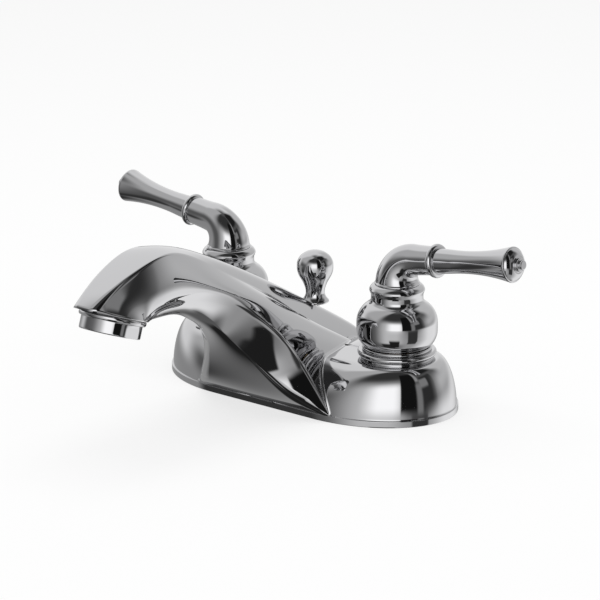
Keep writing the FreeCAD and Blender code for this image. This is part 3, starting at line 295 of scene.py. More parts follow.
black_plastic = new_material(
    "black_moulded_plastic", GRAIN, {"Grain Scale": 1100.0, "Tone": 0.5},
    (0.035, 0.036, 0.038), metallic=0.0, roughness=0.5, bump=0.5, depth=0.00008,
    dark=(0.08, 0.08, 0.08), mask="Tone")
white_plastic = new_material(
    "white_moulded_plastic", GRAIN, {"Grain Scale": 1100.0, "Tone": 0.35},
    (0.80, 0.80, 0.77), metallic=0.0, roughness=0.42, bump=0.35, depth=0.00006,
    dark=(0.62, 0.61, 0.56), mask="Tone")
FINISH = {"polished_chrome": chrome, "brass": brass, "copper": copper, "steel": steel,
          "ceramic": ceramic, "rubber": rubber, "black_plastic": black_plastic,
          "white_plastic": white_plastic}
print("finishes", sorted(FINISH))

# %% [markdown]
# Pieces that stay as the CAD made them take their finish here, by the slot that the record
# names for each node.

# %% Finish the CAD pieces
slot_of = {part["node"]: part["material_slot"] for part in frame["record"]["subparts"]}
for node_name, node_object in frame["nodes"].items():
    finish = FINISH[slot_of[node_name]]
    if not node_object.data.materials:
        node_object.data.materials.append(finish)
    for slot_number in range(len(node_object.material_slots)):
        node_object.material_slots[slot_number].material = finish
print("finished", len(slot_of), "nodes")


# %% [markdown]
# ## Outlines with soft corners
#
# No edge of a polished casting is really sharp: the polishing wheel rounds it, and that thin
# round edge catches a line of light. A Bevel modifier could add it, but here every outline
# is drawn run by run, and each corner between two runs is rounded as the points are made.

# %% Runs, corners and arcs
STRAIGHT_POINTS = 6
CURVED_POINTS = 20
ARC_POINTS = 25
CORNER_POINTS = 4
# A corner's rounding begins no further from it than this share of the shorter run.
LONGEST_TRIM = 0.45


def cut_run(run, start, finish, count):
    """Points of a run that stops short of its ends, closer together near both ends."""
    steps = np.linalg.norm(np.diff(run, axis=0), axis=1)
    along = np.concatenate([[0.0], np.cumsum(steps)])
    share = (1 - np.cos(np.linspace(0, math.pi, count))) / 2
    places = start + share * (along[-1] - start - finish)
    return np.stack([np.interp(places, along, run[:, axis]) for axis in range(run.shape[1])],
                    axis=1)


def run_length(run):
    return float(np.linalg.norm(np.diff(run, axis=0), axis=1).sum())


def soften(runs, trims, counts):
    """Join runs end to end and round each corner, beginning trim before and after it."""
    cuts = [0.0]
    for number, trim in enumerate(trims):
        shorter = min(run_length(runs[number]), run_length(runs[number + 1]))
        cuts.append(min(trim, LONGEST_TRIM * shorter))
    cuts.append(0.0)
    shares = (np.arange(CORNER_POINTS) + 1.0)[:, None] / (CORNER_POINTS + 1)
    joined = []
    kept = [cut_run(run, cuts[i], cuts[i + 1], counts[i]) for i, run in enumerate(runs)]
    for number, points in enumerate(kept):
        joined.append(points)
        if number + 1 < len(kept):
            before, corner, after = points[-1], runs[number][-1], kept[number + 1][0]
            joined.append((1 - shares) ** 2 * before + 2 * shares * (1 - shares) * corner
                          + shares ** 2 * after)
    return np.concatenate(joined)


def arc_run(start, finish, radius, turn):
    """Points of the short arc between two points of an outline. turn is +1 for a left turn
    and -1 for a right turn."""
    start, finish = np.array(start, float), np.array(finish, float)
    chord = finish - start
    half = np.linalg.norm(chord) / 2
    side = np.array([-chord[1], chord[0]]) / (2 * half) * turn
    centre = (start + finish) / 2 + side * math.sqrt(max(radius ** 2 - half ** 2, 0.0))
    first = math.atan2(*(start - centre)[::-1])
    sweep = 2 * math.asin(min(half / radius, 1.0)) * turn
    angles = first + sweep * np.linspace(0, 1, ARC_POINTS)
    return centre + radius * np.stack([np.cos(angles), np.sin(angles)], axis=1)


def outline(corners, trim=0.35):
    """Points of an open outline. A corner is (across, up), or (across, up, radius, turn)
    where an arc leads to it. trim is how far before a corner its rounding begins, one
    number for all corners or one for each."""
    runs = []
    for before, corner in zip(corners, corners[1:]):
        if len(corner) == 2:
            runs.append(np.array([before[:2], corner], float))
        else:
            runs.append(arc_run(before[:2], corner[:2], corner[2], corner[3]))
    counts = [STRAIGHT_POINTS if len(run) == 2 else CURVED_POINTS for run in runs]
    trims = trim if isinstance(trim, list) else [trim] * (len(runs) - 1)
    return soften(runs, trims, counts)


# %% [markdown]
# A surface is a grid: rows of points, each joined to the next row by quads. The helpers below
# turn grids into one closed mesh in metres.

# %% Grids and pieces
# Below the first size a row counts as one point. The other two clean the finished mesh.
POINT_SIZE = 1e-6
MERGE_GAP = 0.002 * MM
SHORTEST_EDGE = 0.001 * MM


def grid_faces(rows, columns, start=0):
    """Quads between closed rows."""
    here = np.arange(columns)
    after = (here + 1) % columns
    faces = []
    for row in range(rows - 1):
        low = start + row * columns
        high = low + columns
        faces.append(np.stack([low + here, low + after, high + after, high + here], axis=1))
    return np.concatenate(faces).tolist()


def centre_row(row):
    """A row as long as the given one, with every point in its middle."""
    return np.repeat(row.mean(axis=0)[None], len(row), axis=0)


class Shell:
    """Points in millimetres and faces of one piece, gathered grid by grid."""

    def __init__(self):
        self.points = []
        self.faces = []
        self.count = 0

    def add_grid(self, rows, ring=False):
        """Rows of equal length, each closed on itself. The first and the last row are filled
        with a fan when they have not shrunk to a point, or joined to each other in a ring."""
        rows = [np.asarray(row, float) for row in rows]
        if ring:
            rows.append(rows[0])
        else:
            if np.ptp(rows[0], axis=0).max() > POINT_SIZE:
                rows.insert(0, centre_row(rows[0]))
            if np.ptp(rows[-1], axis=0).max() > POINT_SIZE:
                rows.append(centre_row(rows[-1]))
        self.points += rows
        self.faces += grid_faces(len(rows), len(rows[0]), self.count)
        self.count += sum(len(row) for row in rows)
        return self


def piece_from(shell, name, body, finish, replaced=()):
    """A Blender object from a shell: doubles merged, faces outwards, smooth."""
    mesh = bpy.data.meshes.new(name)
    points = np.concatenate(shell.points) * MM
    mesh.from_pydata(points.tolist(), [], shell.faces)
    work = bmesh.new()
    work.from_mesh(mesh)
    bmesh.ops.remove_doubles(work, verts=work.verts, dist=MERGE_GAP)
    bmesh.ops.dissolve_degenerate(work, edges=work.edges, dist=SHORTEST_EDGE)
    bmesh.ops.recalc_face_normals(work, faces=work.faces)
    for face in work.faces:
        face.smooth = True
    work.to_mesh(mesh)
    work.free()
    piece = bpy.data.objects.new(name, mesh)
    bpy.context.scene.collection.objects.link(piece)
    piece.data.materials.append(finish)
    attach(piece, body)
    if replaced:
        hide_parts(*replaced)
    print(name, len(mesh.polygons), "faces")
    return piece


def chrome_piece(rows, name, body, node, ring=False):
    """A polished piece of one grid that takes the place of one CAD piece."""
    return piece_from(Shell().add_grid(rows, ring), name, body, chrome,
                      (node,))


def spin(profile, turns=96, tilt=None, centre=(0, 0, 0)):
    """Rows of a turned piece from a profile of (radius, along). tilt=(axis, side) are two
    unit vectors for a piece whose axis isn't upright."""
    axis, side = (np.array((0, 0, 1.0)), np.array((1.0, 0, 0))) if tilt is None else tilt
    other = np.cross(axis, side)
    angles = np.linspace(0, 2 * math.pi, turns, endpoint=False)
    ring = np.cos(angles)[:, None] * side + np.sin(angles)[:, None] * other
    return [np.array(centre, float) + radius * ring + along * axis for radius, along in profile]


# %% [markdown]
# ## The casting: foot and spout
#
# Foot and spout are one brass casting, plated after polishing. The spout is no simple
# extrusion: a flat ribbon over the nose becomes a round ridge, a crease runs from the nose
# down to the heel of the foot, and the leg below it turns into a hollow apron. A subdivision
# cage could be pushed about until it fits. Here five guide curves say where each edge runs,
# from the nose to the deck, and a smooth strip is stretched from guide to guide.

# %% Sizes of the casting
# Lengths are in millimetres, and heights begin at the deck.
HANDLE_SPACING = 101.6
BASE_LENGTH = 156.6
BASE_WIDTH = 71.0
BASE_END = 48.5
MOUND_HEIGHT = 25.0
MOUND_TOP = 18.4
SADDLE_DROP = 6.0
BAND_HEIGHT = 3.0
BAND_PROUD = 0.7
APRON_FOOT = 2.6
RIM_WALL = 3.0
PLATE_TOP = 2.3

# The spout's widths and radii run from the middle plane to one side.
SPOUT_REACH = 131.5
NOSE_HEIGHT = 65.8
NOSE_TILT = math.radians(19.6)
NOSE_RADIUS = 15.3
NOSE_BEAK = 5.1
LIP_WIDTH = 5.5
RIBBON_WIDTH = 10.0
PEAK_HEIGHT = 92.6
PEAK_SETBACK = 28.6
RIDGE_ANGLE = math.radians(29.6)
RIDGE_BACK = 21.0
RIDGE_CORNER = 0.9
BROW_DROP = 2.4
BROW_START = (9.5, 6.9)
BROW_END = (7.2, 5.7)
CROWN_WIDTH = 10.0
TOE_WIDTH = 38.0
HEEL_WIDTH = 40.5
THROAT_WIDTH = 10.5
THROAT_HEIGHT = 63.8
NOSE_BORE = 10.7
CHAMBER_BORE = 7.0

# Where the guides begin on the nose and end at the foot, and what pulls the strips outwards.
FRONT = BASE_WIDTH / 2
RIM_INSET = 0.2
HEEL_INSET = 1.6
FLANK_START = math.radians(60)
EDGE_START = math.radians(43.4)
UNDER_START = math.radians(21.7)
WALL_START = (1.24, 0.06)
LEG_START = (0.8, -0.63)
LEG_SWELL = (0.8, -0.6, 0)
UNDER_SHARE = 0.55

# Places along a guide, from the nose to the deck. Widths run from throat to foot, forward is
# 0 at the foot's front and 1 at the outlet, and heights are shares of the peak or the throat.
FLANK_WIDTH = (0.079, 0.066, 0.052, 0.107, 0.262, 0.552, 0.583, 0.879)
FLANK_FORWARD = (0.906, 0.778, 0.667, 0.466, 0.278, 0.161, 0.036, 0.003)
FLANK_HEIGHT = (0.717, 0.740, 0.734, 0.711, 0.589, 0.448, 0.280, 0.108)
EDGE_WIDTH = (0.00, 0.00, -0.045, -0.053, -0.162, 0.030, 0.434, 0.728)
EDGE_FORWARD = (0.823, 0.713, 0.588, 0.465, 0.338, 0.230, 0.155, 0.096)
EDGE_HEIGHT = (1.000, 1.000, 0.961, 0.842, 0.676, 0.480, 0.262, 0.143)
BELLY_FORWARD = (0.822, 0.710, 0.585, 0.469, 0.343, 0.236, 0.149, 0.071)
BELLY_HEIGHT = (0.928, 0.933, 0.898, 0.802, 0.668, 0.473, 0.271, 0.125)
RIDGE_SHARE = (0.215, 0.473, 0.731, 0.943)

# How far the wall's middle guide lies from the crown to the flank, and how far it stands out.
WALL_ALONG = (0.50, 0.52, 0.50, 0.46, 0.36, 0.28, 0.15, 0.15, 0.28, 0.28)
WALL_UP = (0.50, 0.78, 0.86, 0.84, 0.74, 0.72, 0.80, 0.85, 0.80, 0.62)
WALL_BULGE = (0.0, 3.4, 5.0, 5.4, 7.4, 9.0, 9.5, 8.0, 3.0, 0.0)

# The crown: its half width as a share of the ribbon's or its own, how far it lies below the
# ridge, and how round the top between the two is.
LIP_SHARE = 0.33
RIBBON_SHARE = 0.96
CROWN_SHARE = (0.74, 1, 0.95, 0.95, 1, 1)
CROWN_DROP = (0, 0.2, 0.3, 0.6, 5.7, 8.1, 14.0, 10.0, 7.0, 0)
CROWN_ROUND = (0.5, 0.5, 0.5, 0.5, 0.5, 0.45, 0.45, 0.6, 0.9, 1.0)
CROWN_BACK = (2, 1)
CROWN_LIP = 0.5


# %% Guides of the spout
def mix(start, finish, share):
    return start + (finish - start) * share


def nose_point(across, ahead):
    """A point of the nose's flat end, measured from the outlet's axis."""
    return np.array([across, -SPOUT_REACH - ahead * math.cos(NOSE_TILT),
                     NOSE_HEIGHT + ahead * math.sin(NOSE_TILT)])


def ridge_height(ahead):
    return RIDGE_BACK + (FRONT + ahead) * math.tan(RIDGE_ANGLE)


def ridge_guide():
    """The middle line over the top: lip, brow, peak, the straight ridge and the back."""
    lip = nose_point(0, NOSE_RADIUS + NOSE_BEAK)
    peak = SPOUT_REACH - PEAK_SETBACK
    points = [lip, (0, -SPOUT_REACH - BROW_START[0], lip[2] + BROW_START[1]),
              (0, -SPOUT_REACH + BROW_END[0], PEAK_HEIGHT - BROW_END[1]), (0, -peak, PEAK_HEIGHT)]
    for share in RIDGE_SHARE:
        ahead = mix(peak, -FRONT, share)
        points.append((0, -ahead, ridge_height(ahead)))
    points[4] = (0, points[4][1], points[4][2] - BROW_DROP)
    points += [(0, FRONT, RIDGE_BACK * RIDGE_CORNER), (0, FRONT, APRON_FOOT)]
    return np.array(points, float)


def crown_guide(ridge):
    """The soft edge beside the ridge, where the top turns into the wall."""
    widths = [LIP_WIDTH, mix(LIP_WIDTH, RIBBON_WIDTH, LIP_SHARE), RIBBON_WIDTH,
              RIBBON_WIDTH * RIBBON_SHARE]
    widths += [CROWN_WIDTH * share for share in CROWN_SHARE]
    points = ridge.copy()
    points[:, 0] = widths
    points[:, 2] -= CROWN_DROP
    points[0] = nose_point(LIP_WIDTH, NOSE_RADIUS + NOSE_BEAK - CROWN_LIP)
    points[-len(CROWN_BACK):, 1] -= CROWN_BACK
    return points


def rim_point(turn):
    """A point of the nose's round edge, turned sideways from the side that faces back."""
    return nose_point(NOSE_RADIUS * math.sin(turn), -NOSE_RADIUS * math.cos(turn))


def guide_points(start, widths, forwards, heights, finish):
    """A guide from the nose to the deck."""
    points = [start]
    for width, forward, height in zip(widths, forwards, heights):
        points.append((width, -mix(FRONT, SPOUT_REACH, forward), height))
    points.append(finish)
    return np.array(points, float)


def flank_guide():
    """The crease from the nose to the heel, between the wall and the leg."""
    widths = mix(THROAT_WIDTH, HEEL_WIDTH, np.array(FLANK_WIDTH))
    heights = PEAK_HEIGHT * np.array(FLANK_HEIGHT)
    return guide_points(rim_point(FLANK_START), widths, FLANK_FORWARD, heights,
                        (HEEL_WIDTH, -FRONT + HEEL_INSET, APRON_FOOT))


def edge_guide():
    """The lower edge, from the throat down to the toe."""
    widths = mix(THROAT_WIDTH, TOE_WIDTH, np.array(EDGE_WIDTH))
    heights = THROAT_HEIGHT * np.array(EDGE_HEIGHT)
    return guide_points(rim_point(EDGE_START), widths, EDGE_FORWARD, heights,
                        (TOE_WIDTH, -FRONT + RIM_INSET, APRON_FOOT))


def belly_guide():
    """The middle line of the underside."""
    heights = THROAT_HEIGHT * np.array(BELLY_HEIGHT)
    return guide_points(rim_point(0), [0] * len(heights), BELLY_FORWARD, heights,
                        (0, -FRONT + RIM_INSET, APRON_FOOT))


def between(first, second, along, up):
    """A guide between two others, with shares of the way along the ground and upwards."""
    share = np.stack([along, along, up], axis=1)
    return first + (second - first) * share


# %% [markdown]
# A guide of ten points is a cubic spline. Its weights come from the usual recursion, and one
# matrix of weights turns every guide into points at the same time.

# %% From guides to strips
GUIDE_POINTS = 10
STRIP_POINTS = 33
ROW_COUNT = 300


def spline_weights(count, places):
    """Weights of count control points of a cubic spline at places from 0 to 1."""
    knots = np.concatenate([np.zeros(3), np.linspace(0, 1, count - 2), np.ones(3)])
    places = np.clip(places, 0, 1 - 1e-9)
    weights = [((places >= low) & (places < high)).astype(float)
               for low, high in zip(knots, knots[1:])]
    for degree in (1, 2, 3):
        raised = []
        for i in range(len(knots) - 1 - degree):
            total = np.zeros_like(places)
            if knots[i + degree] > knots[i]:
                total += (places - knots[i]) / (knots[i + degree] - knots[i]) * weights[i]
            if knots[i + degree + 1] > knots[i + 1]:
                span = knots[i + degree + 1] - knots[i + 1]
                total += (knots[i + degree + 1] - places) / span * weights[i + 1]
            raised.append(total)
        weights = raised
    return np.stack(weights, axis=1)


def spout_rows_of(places):
    """For each place along the spout, the four runs of its right-hand outline. Across a strip
    the surface is a parabola that a middle guide pulls outwards."""
    ridge = ridge_guide()
    crown = crown_guide(ridge)
    flank = flank_guide()
    edge = edge_guide()
    belly = belly_guide()
    over = ridge.copy()
    over[:, 0] = crown[:, 0] * np.array(CROWN_ROUND)
    wall = between(crown, flank, np.array(WALL_ALONG), np.array(WALL_UP))
    wall[:, 0] += WALL_BULGE
    wall[0] = nose_point(*(NOSE_RADIUS * share for share in WALL_START))
    leg = (flank + edge) / 2 + np.array(LEG_SWELL)
    leg[0] = nose_point(*(NOSE_RADIUS * share for share in LEG_START))
    leg[-1, 1] = -FRONT + RIM_INSET
    under = belly.copy()
    under[:, 0] = edge[:, 0] * UNDER_SHARE
    under[0] = nose_point(NOSE_RADIUS * math.tan(UNDER_START), -NOSE_RADIUS)
    weights = spline_weights(GUIDE_POINTS, np.asarray(places, float))
    across = np.linspace(0, 1, STRIP_POINTS)[:, None]
    rows = [[] for _ in places]
    for start, middle, finish in ((ridge, over, crown), (crown, wall, flank),
                                  (flank, leg, edge), (edge, under, belly)):
        ends = [weights @ guide for guide in (start, middle, finish)]
        for number, row in enumerate(rows):
            a, b, c = (end[number] for end in ends)
            row.append((1 - across) ** 2 * a + 2 * across * (1 - across) * b + across ** 2 * c)
    return rows


# Where the rounding of each edge begins, at five places from the nose to the deck.
CROWN_TRIM = (2.4, 0.7, 0.9, 1.2, 1.6)
FLANK_TRIM = (0.6, 2.4, 2.6, 1.4, 1.0)
EDGE_TRIM = (0.6, 0.7, 0.7, 0.9, 6.0)
RUN_POINTS = (16, 24, 14, 14)


def closed_outline(runs, share):
    """One closed row of the spout: right side softened, then its mirror image."""
    stations = np.linspace(0, 1, len(CROWN_TRIM))
    trims = [np.interp(share, stations, trim) for trim in (CROWN_TRIM, FLANK_TRIM, EDGE_TRIM)]
    side = soften(runs, trims, RUN_POINTS)
    mirror = side[1:-1][::-1] * np.array([-1, 1, 1])
    return np.concatenate([side, mirror])


# %% [markdown]
# The nose ends in a flat face with a bore for the aerator's thread and a smaller chamber
# above it. At the deck the spout stops above the base plate, inside the foot's rim.

# %% Close the spout at both ends
UP_OUTLET = np.array([0, math.sin(NOSE_TILT), math.cos(NOSE_TILT)])
SEAT = nose_point(0, 0)
NOSE_ROUND = 0.5
THREAD_DEPTH = 4.0
CHAMBER_DEPTH = 11.0
# The nose's rim is the first row. The second follows this share further along.
SECOND_PLACE = 0.008
PLATE_ROWS = 60
PLATE_GAP = 0.1


def inside_plate(row):
    """True for the points of a row that lie over the base plate."""
    centre = BASE_LENGTH / 2 - BASE_END
    beyond = np.maximum(np.abs(row[:, 0]) - centre, 0) / (BASE_END - RIM_WALL)
    return beyond ** 2 + (row[:, 1] / (FRONT - RIM_WALL)) ** 2 < 1


def nose_rows(outer):
    """Rows from the rounded rim of the nose into the thread and the chamber."""
    inward = SEAT - outer
    inward = inward / np.linalg.norm(inward, axis=1)[:, None]
    rows = []
    for angle in np.radians((90, 60, 30, 0)):
        rows.append(outer + inward * NOSE_ROUND * math.sin(angle)
                    + UP_OUTLET * NOSE_ROUND * (1 - math.cos(angle)))
    for radius, rise in ((NOSE_BORE, 0), (NOSE_BORE, THREAD_DEPTH),
                         (CHAMBER_BORE, THREAD_DEPTH), (CHAMBER_BORE, CHAMBER_DEPTH)):
        rows.insert(0, SEAT - inward * radius + UP_OUTLET * rise)
    return rows


def spout_shell():
    """The whole spout: the nose's bore, the outlines, and the end over the base plate."""
    places = np.concatenate([[0.0], np.linspace(SECOND_PLACE, 1, ROW_COUNT)])
    rows = [closed_outline(runs, place) for runs, place in zip(spout_rows_of(places), places)]
    for row in rows[-PLATE_ROWS:]:
        over = inside_plate(row)
        row[over, 2] = np.maximum(row[over, 2], PLATE_TOP)
    last = rows[-1].copy()
    reach = FRONT - RIM_WALL - PLATE_GAP
    last[:, 1] = np.clip(last[:, 1], -reach, reach)
    lifted = last.copy()
    lifted[:, 2] = PLATE_TOP
    mesh_rows = nose_rows(rows[0]) + rows[1:] + [last, lifted]
    return Shell().add_grid(mesh_rows)


spout = spout_shell()
print("spout points", spout.count)


# %% [markdown]
# The foot is an oval that rises in a quarter round to a round top under each handle, with a
# saddle between them. Its level lines are all ovals, so it is a stack of oval rings.

# %% Rings of the foot
SADDLE_END = 0.85
BAND_STEP = 0.16
BAND_TRIM = 0.3
# Two rings in the crease above the band, each moved outwards and upwards.
BAND_CREASE = ((0.05, 0.05), (0.0, 0.22))
MOUND_RINGS = 44
FLOOR_SHARES = (0.2, 0.5, 0.8)
TOP_SHARES = (0.96, 0.85, 0.7, 0.5, 0.3, 0.1, 0)


def mound_level(share):
    """Centre of the round end, its two half-axes and the height, as the side rises."""
    angle = share * math.pi / 2
    lean = 1 - math.cos(angle)
    foot_centre = BASE_LENGTH / 2 - BASE_END
    centre = mix(foot_centre, HANDLE_SPACING / 2, lean)
    return (centre, mix(BASE_END, MOUND_TOP, lean), mix(FRONT, MOUND_TOP, lean),
            MOUND_HEIGHT * math.sin(angle))


def oval_ring(centre, long_axis, short_axis, straight=80, bend=96):
    """Closed ring in the plane: two straight sides and two half ellipses."""
    turn = np.linspace(-math.pi / 2, math.pi / 2, bend)
    end = np.stack([centre + long_axis * np.cos(turn), short_axis * np.sin(turn)], axis=1)
    side = np.linspace(centre, -centre, straight + 2)[1:-1]
    top = np.stack([side, np.full(straight, short_axis)], axis=1)
    return np.concatenate([end, top, -end, -top])


def saddle(across):
    """How far the middle lies below the mounds, 0 where the round ends begin."""
    start = SADDLE_END * (BASE_LENGTH / 2 - BASE_END)
    share = np.clip(np.abs(across) / start, 0, 1)
    return SADDLE_DROP * np.cos(share * math.pi / 2) ** 2


def mound_ring(share, outset=0.0, height=None):
    """A level line of the mounds, moved outwards, or the same oval at a given height."""
    centre, long_axis, short_axis, rise = mound_level(share)
    flat = oval_ring(centre, long_axis + outset, short_axis + outset)
    if height is not None:
        return np.column_stack([flat, np.full(len(flat), height)])
    drop = saddle(flat[:, 0]) * (rise - BAND_HEIGHT) / (MOUND_HEIGHT - BAND_HEIGHT)
    return np.column_stack([flat, rise - drop])


def mound_rows():
    """Rings over the plate, round the band, up the side and over the top."""
    low_share = math.asin(BAND_HEIGHT / MOUND_HEIGHT) / (math.pi / 2)
    band = outline([(-RIM_WALL, PLATE_TOP), (-RIM_WALL, 0), (BAND_PROUD, 0),
                    (BAND_PROUD, BAND_HEIGHT), (BAND_STEP, BAND_HEIGHT)], BAND_TRIM)
    plate = mound_ring(low_share, -RIM_WALL, PLATE_TOP)
    rows = [plate * (share, share, 1) for share in FLOOR_SHARES]
    rows += [mound_ring(low_share, outset, height) for outset, height in band]
    (crease_out, crease_up), (side_out, side_up) = BAND_CREASE
    rows.append(mound_ring(low_share, crease_out, BAND_HEIGHT + crease_up))
    rows.append(mound_ring(low_share, side_out) + np.array([0, 0, side_up]))
    rows += [mound_ring(share) for share in np.linspace(low_share, 1, MOUND_RINGS)[1:]]
    centre, long_axis, short_axis, rise = mound_level(1)
    for share in TOP_SHARES:
        flat = oval_ring(centre, long_axis * share, short_axis * share)
        rows.append(np.column_stack([flat, rise - saddle(flat[:, 0])]))
    return rows


foot_rows = mound_rows()
print("foot rows", len(foot_rows), "of", len(foot_rows[0]))


# %% [markdown]
# Where the spout's wall meets the foot, the pattern maker leaves a small fillet. Its bright
# line runs up from the toe, over the mound and down the back. A ball of the fillet's radius
# is rolled along both surfaces at once: where it touches them the fillet begins and ends.

# %% Roll a ball along the joint
FILLET = 1.5
FILLET_DEPTH = 0.4
# The fillet runs between two angles round the handle plane's middle line, in degrees. It
# fades out towards the angle FILLET_END, over FILLET_FADE degrees.
FILLET_ANGLES = (3.0, 158.0)
FILLET_END = 163.0
FILLET_FADE = 25.0
FILLET_ROWS = 190
FILLET_POINTS = 9
JOINT_SEARCH = (7.0, 46.0)
HALVINGS = 22
FAR_OUT = 200
BALL_START = 1.4
BALL_STEPS = 25
BALL_STEP = 0.6


def surface_tree(rows):
    points = np.concatenate(rows)
    faces = grid_faces(len(rows), len(rows[0]))
    return BVHTree.FromPolygons([Vector(point) for point in points], faces)


def outer_reach(tree, across, angle):
    """Distance from the handle plane's middle line to the surface, seen at an angle."""
    direction = Vector((0, -math.cos(angle), math.sin(angle)))
    origin = Vector((across, 0, 0))
    hit = tree.ray_cast(origin + direction * FAR_OUT, -direction)
    return -1.0 if hit[0] is None else (hit[0] - origin).length


def joint_point(spout_tree, foot_tree, angle):
    """Where the spout's wall dips into the foot, found by halving."""
    low, high = JOINT_SEARCH
    for _ in range(HALVINGS):
        middle = (low + high) / 2
        if outer_reach(spout_tree, middle, angle) > outer_reach(foot_tree, middle, angle):
            low = middle
        else:
            high = middle
    direction = Vector((0, -math.cos(angle), math.sin(angle)))
    return Vector((low, 0, 0)) + direction * outer_reach(foot_tree, low, angle)


def resting_ball(trees, start, radius):
    """Centre of a ball that touches both surfaces from outside, and where it touches."""
    normals = [tree.find_nearest(start)[1] for tree in trees]
    centre = start + (normals[0] + normals[1]).normalized() * radius * BALL_START
    for _ in range(BALL_STEPS):
        touches = []
        for tree in trees:
            spot, normal, _, distance = tree.find_nearest(centre)
            away = centre - spot
            outside = away.dot(normal) > 0
            away = away.normalized() if outside else -away.normalized()
            gap = distance if outside else -distance
            touches.append(spot)
            centre = centre + away * (radius - gap) * BALL_STEP
    return centre, touches


def fillet_rows(trees):
    """Rows of the fillet from the toe to the back, each closed inside the casting."""
    rows = []
    for degrees in np.linspace(*FILLET_ANGLES, FILLET_ROWS):
        spot = joint_point(trees[0], trees[1], math.radians(degrees))
        radius = FILLET * min(1.0, (FILLET_END - degrees) / FILLET_FADE)
        centre, touches = resting_ball(trees, spot, radius)
        first, last = [(touch - centre).normalized() for touch in touches]
        row = [centre + first.slerp(last, share) * radius
               for share in np.linspace(0, 1, FILLET_POINTS)]
        inner = spot + (spot - centre).normalized() * FILLET_DEPTH
        rows.append(np.array([tuple(point) for point in row + [inner]]))
    return rows


fillet = fillet_rows([surface_tree(spout.points), surface_tree(foot_rows)])
casting_shell = Shell().add_grid(spout.points).add_grid(foot_rows).add_grid(fillet)
casting_shell.add_grid([row * np.array([-1, 1, 1]) for row in fillet])
piece_from(casting_shell, "casting", "root", chrome, ("faucet_body",))

# %% [markdown]
# ## Turned pieces
#
# The hub, the trim ring, the collar, the grip and its button are turned on a lathe, and so
# are the lift knob and the outlet fitting. Each is one soft outline that is spun around its
# axis. The levers lean 7.6 degrees up, the outlet leans with the nose.

# %% Hubs, grips and buttons
LEVER_HEIGHT = 70.85
LEVER_TILT = math.radians(7.6)
# A corner is (radius, place along the axis). Where an arc ends, its radius and turn follow.
HUB = [(0, 57.3), (3.05, 57.3), (3.05, 51.5), (9.98, 51.5), (12.3, 48.8),
       (16.9, 41.2, 9.02, -1), (16.9, 38), (13.9, 30.9, 9.9, -1), (15.4, 30.9),
       (18.5, 38, 9.68, 1), (18.5, 41.2), (13.3, 50.4, 10.62, 1), (11.9, 52.6, 3.08, -1),
       (11.9, 54.8), (12.7, 56.8), (10.5, 59.5, 4, 1), (0, 59.5)]
HUB_TRIM = [0.3] * 6 + [0.35, 0.35, 1.2, 1.2, 0.5, 0.4, 0.5, 0.5, 0.4]
COLLAR = [(0, 21.2), (6.55, 21.2), (6.55, 24.2, 1.56, 1), (0, 24.2)]
COLLAR_TRIM = 0.3
GRIP = [(0, 24.2), (5.7, 24.2), (5.35, 31), (8.0, 64.5, 110, -1), (7.5, 65.1, 0.6, 1),
        (0, 65.1)]
GRIP_TRIM = [0.4, 3.0, 0.8, 0.3]
BUTTON = [(0, 65.1), (7.45, 65.1), (4.2, 67.6, 6.2, 1), (3.1, 67.6), (3.1, 69.1),
          (2.1, 69.1), (2.1, 70.4), (0, 70.4)]
BUTTON_TRIM = [0.25, 0.25, 0.25, 0.35, 0.25, 0.35]
RING = [(13.6, 24.2), (16.2, 24.2), (16.2, 26.35, 1.2, 1), (17.0, 26.35),
        (17.0, 28.95, 1.33, 1), (15.5, 28.95), (15.5, 30.55, 0.9, 1), (13.6, 30.55),
        (13.6, 24.2)]
RING_TRIM = 0.12
SCREW_HEIGHT = 54.7
SCREW_HOLE = 2.05
SCREW_BACK = 8.0
SCREW_DEPTH = 12.0
HOLE_TURNS = 32
SMOOTH_TURNS = 128


def lever_frame(side):
    """Axis of a lever, a direction square to it, and where the axis starts."""
    axis = np.array([side * math.cos(LEVER_TILT), 0, math.sin(LEVER_TILT)])
    return (axis, np.array([0, 1.0, 0])), (side * HANDLE_SPACING / 2, 0, LEVER_HEIGHT)


def cut_hole(piece, place, radius, depth):
    """Round hole towards +Y, cut with a Boolean modifier whose result replaces the mesh."""
    tool_mesh = bpy.data.meshes.new("hole_tool")
    work = bmesh.new()
    bmesh.ops.create_cone(work, cap_ends=True, segments=HOLE_TURNS, radius1=radius * MM,
                          radius2=radius * MM, depth=depth * MM,
                          matrix=Matrix.Translation(Vector(place) * MM)
                          @ Matrix.Rotation(math.pi / 2, 4, "X"))
    work.to_mesh(tool_mesh)
    work.free()
    tool = bpy.data.objects.new("hole_tool", tool_mesh)
    bpy.context.scene.collection.objects.link(tool)
    cutter = piece.modifiers.new("hole", "BOOLEAN")
    cutter.operation = "DIFFERENCE"
    cutter.object = tool
    mesh = bpy.data.meshes.new_from_object(
        piece.evaluated_get(bpy.context.evaluated_depsgraph_get()))
    piece.modifiers.remove(cutter)
    piece.data = mesh
    bpy.data.objects.remove(tool)


for word, side in (("hot", -1), ("cold", 1)):
    body = word + "_handle"
    centre = (side * HANDLE_SPACING / 2, 0, 0)
    rows = spin(outline(HUB, HUB_TRIM), SMOOTH_TURNS, None, centre)
    hub = chrome_piece(rows, "hub_" + word, body, word + "_handle_hub")
    cut_hole(hub, (centre[0], SCREW_BACK, SCREW_HEIGHT), SCREW_HOLE, SCREW_DEPTH)
    tilt, start = lever_frame(side)
    for name, corners, trim in (("collar", COLLAR, COLLAR_TRIM), ("grip", GRIP, GRIP_TRIM),
                                ("button", BUTTON, BUTTON_TRIM)):
        rows = spin(outline(corners, trim), SMOOTH_TURNS, tilt, start)
        chrome_piece(rows, name + "_" + word, body, word + "_handle_" + name)

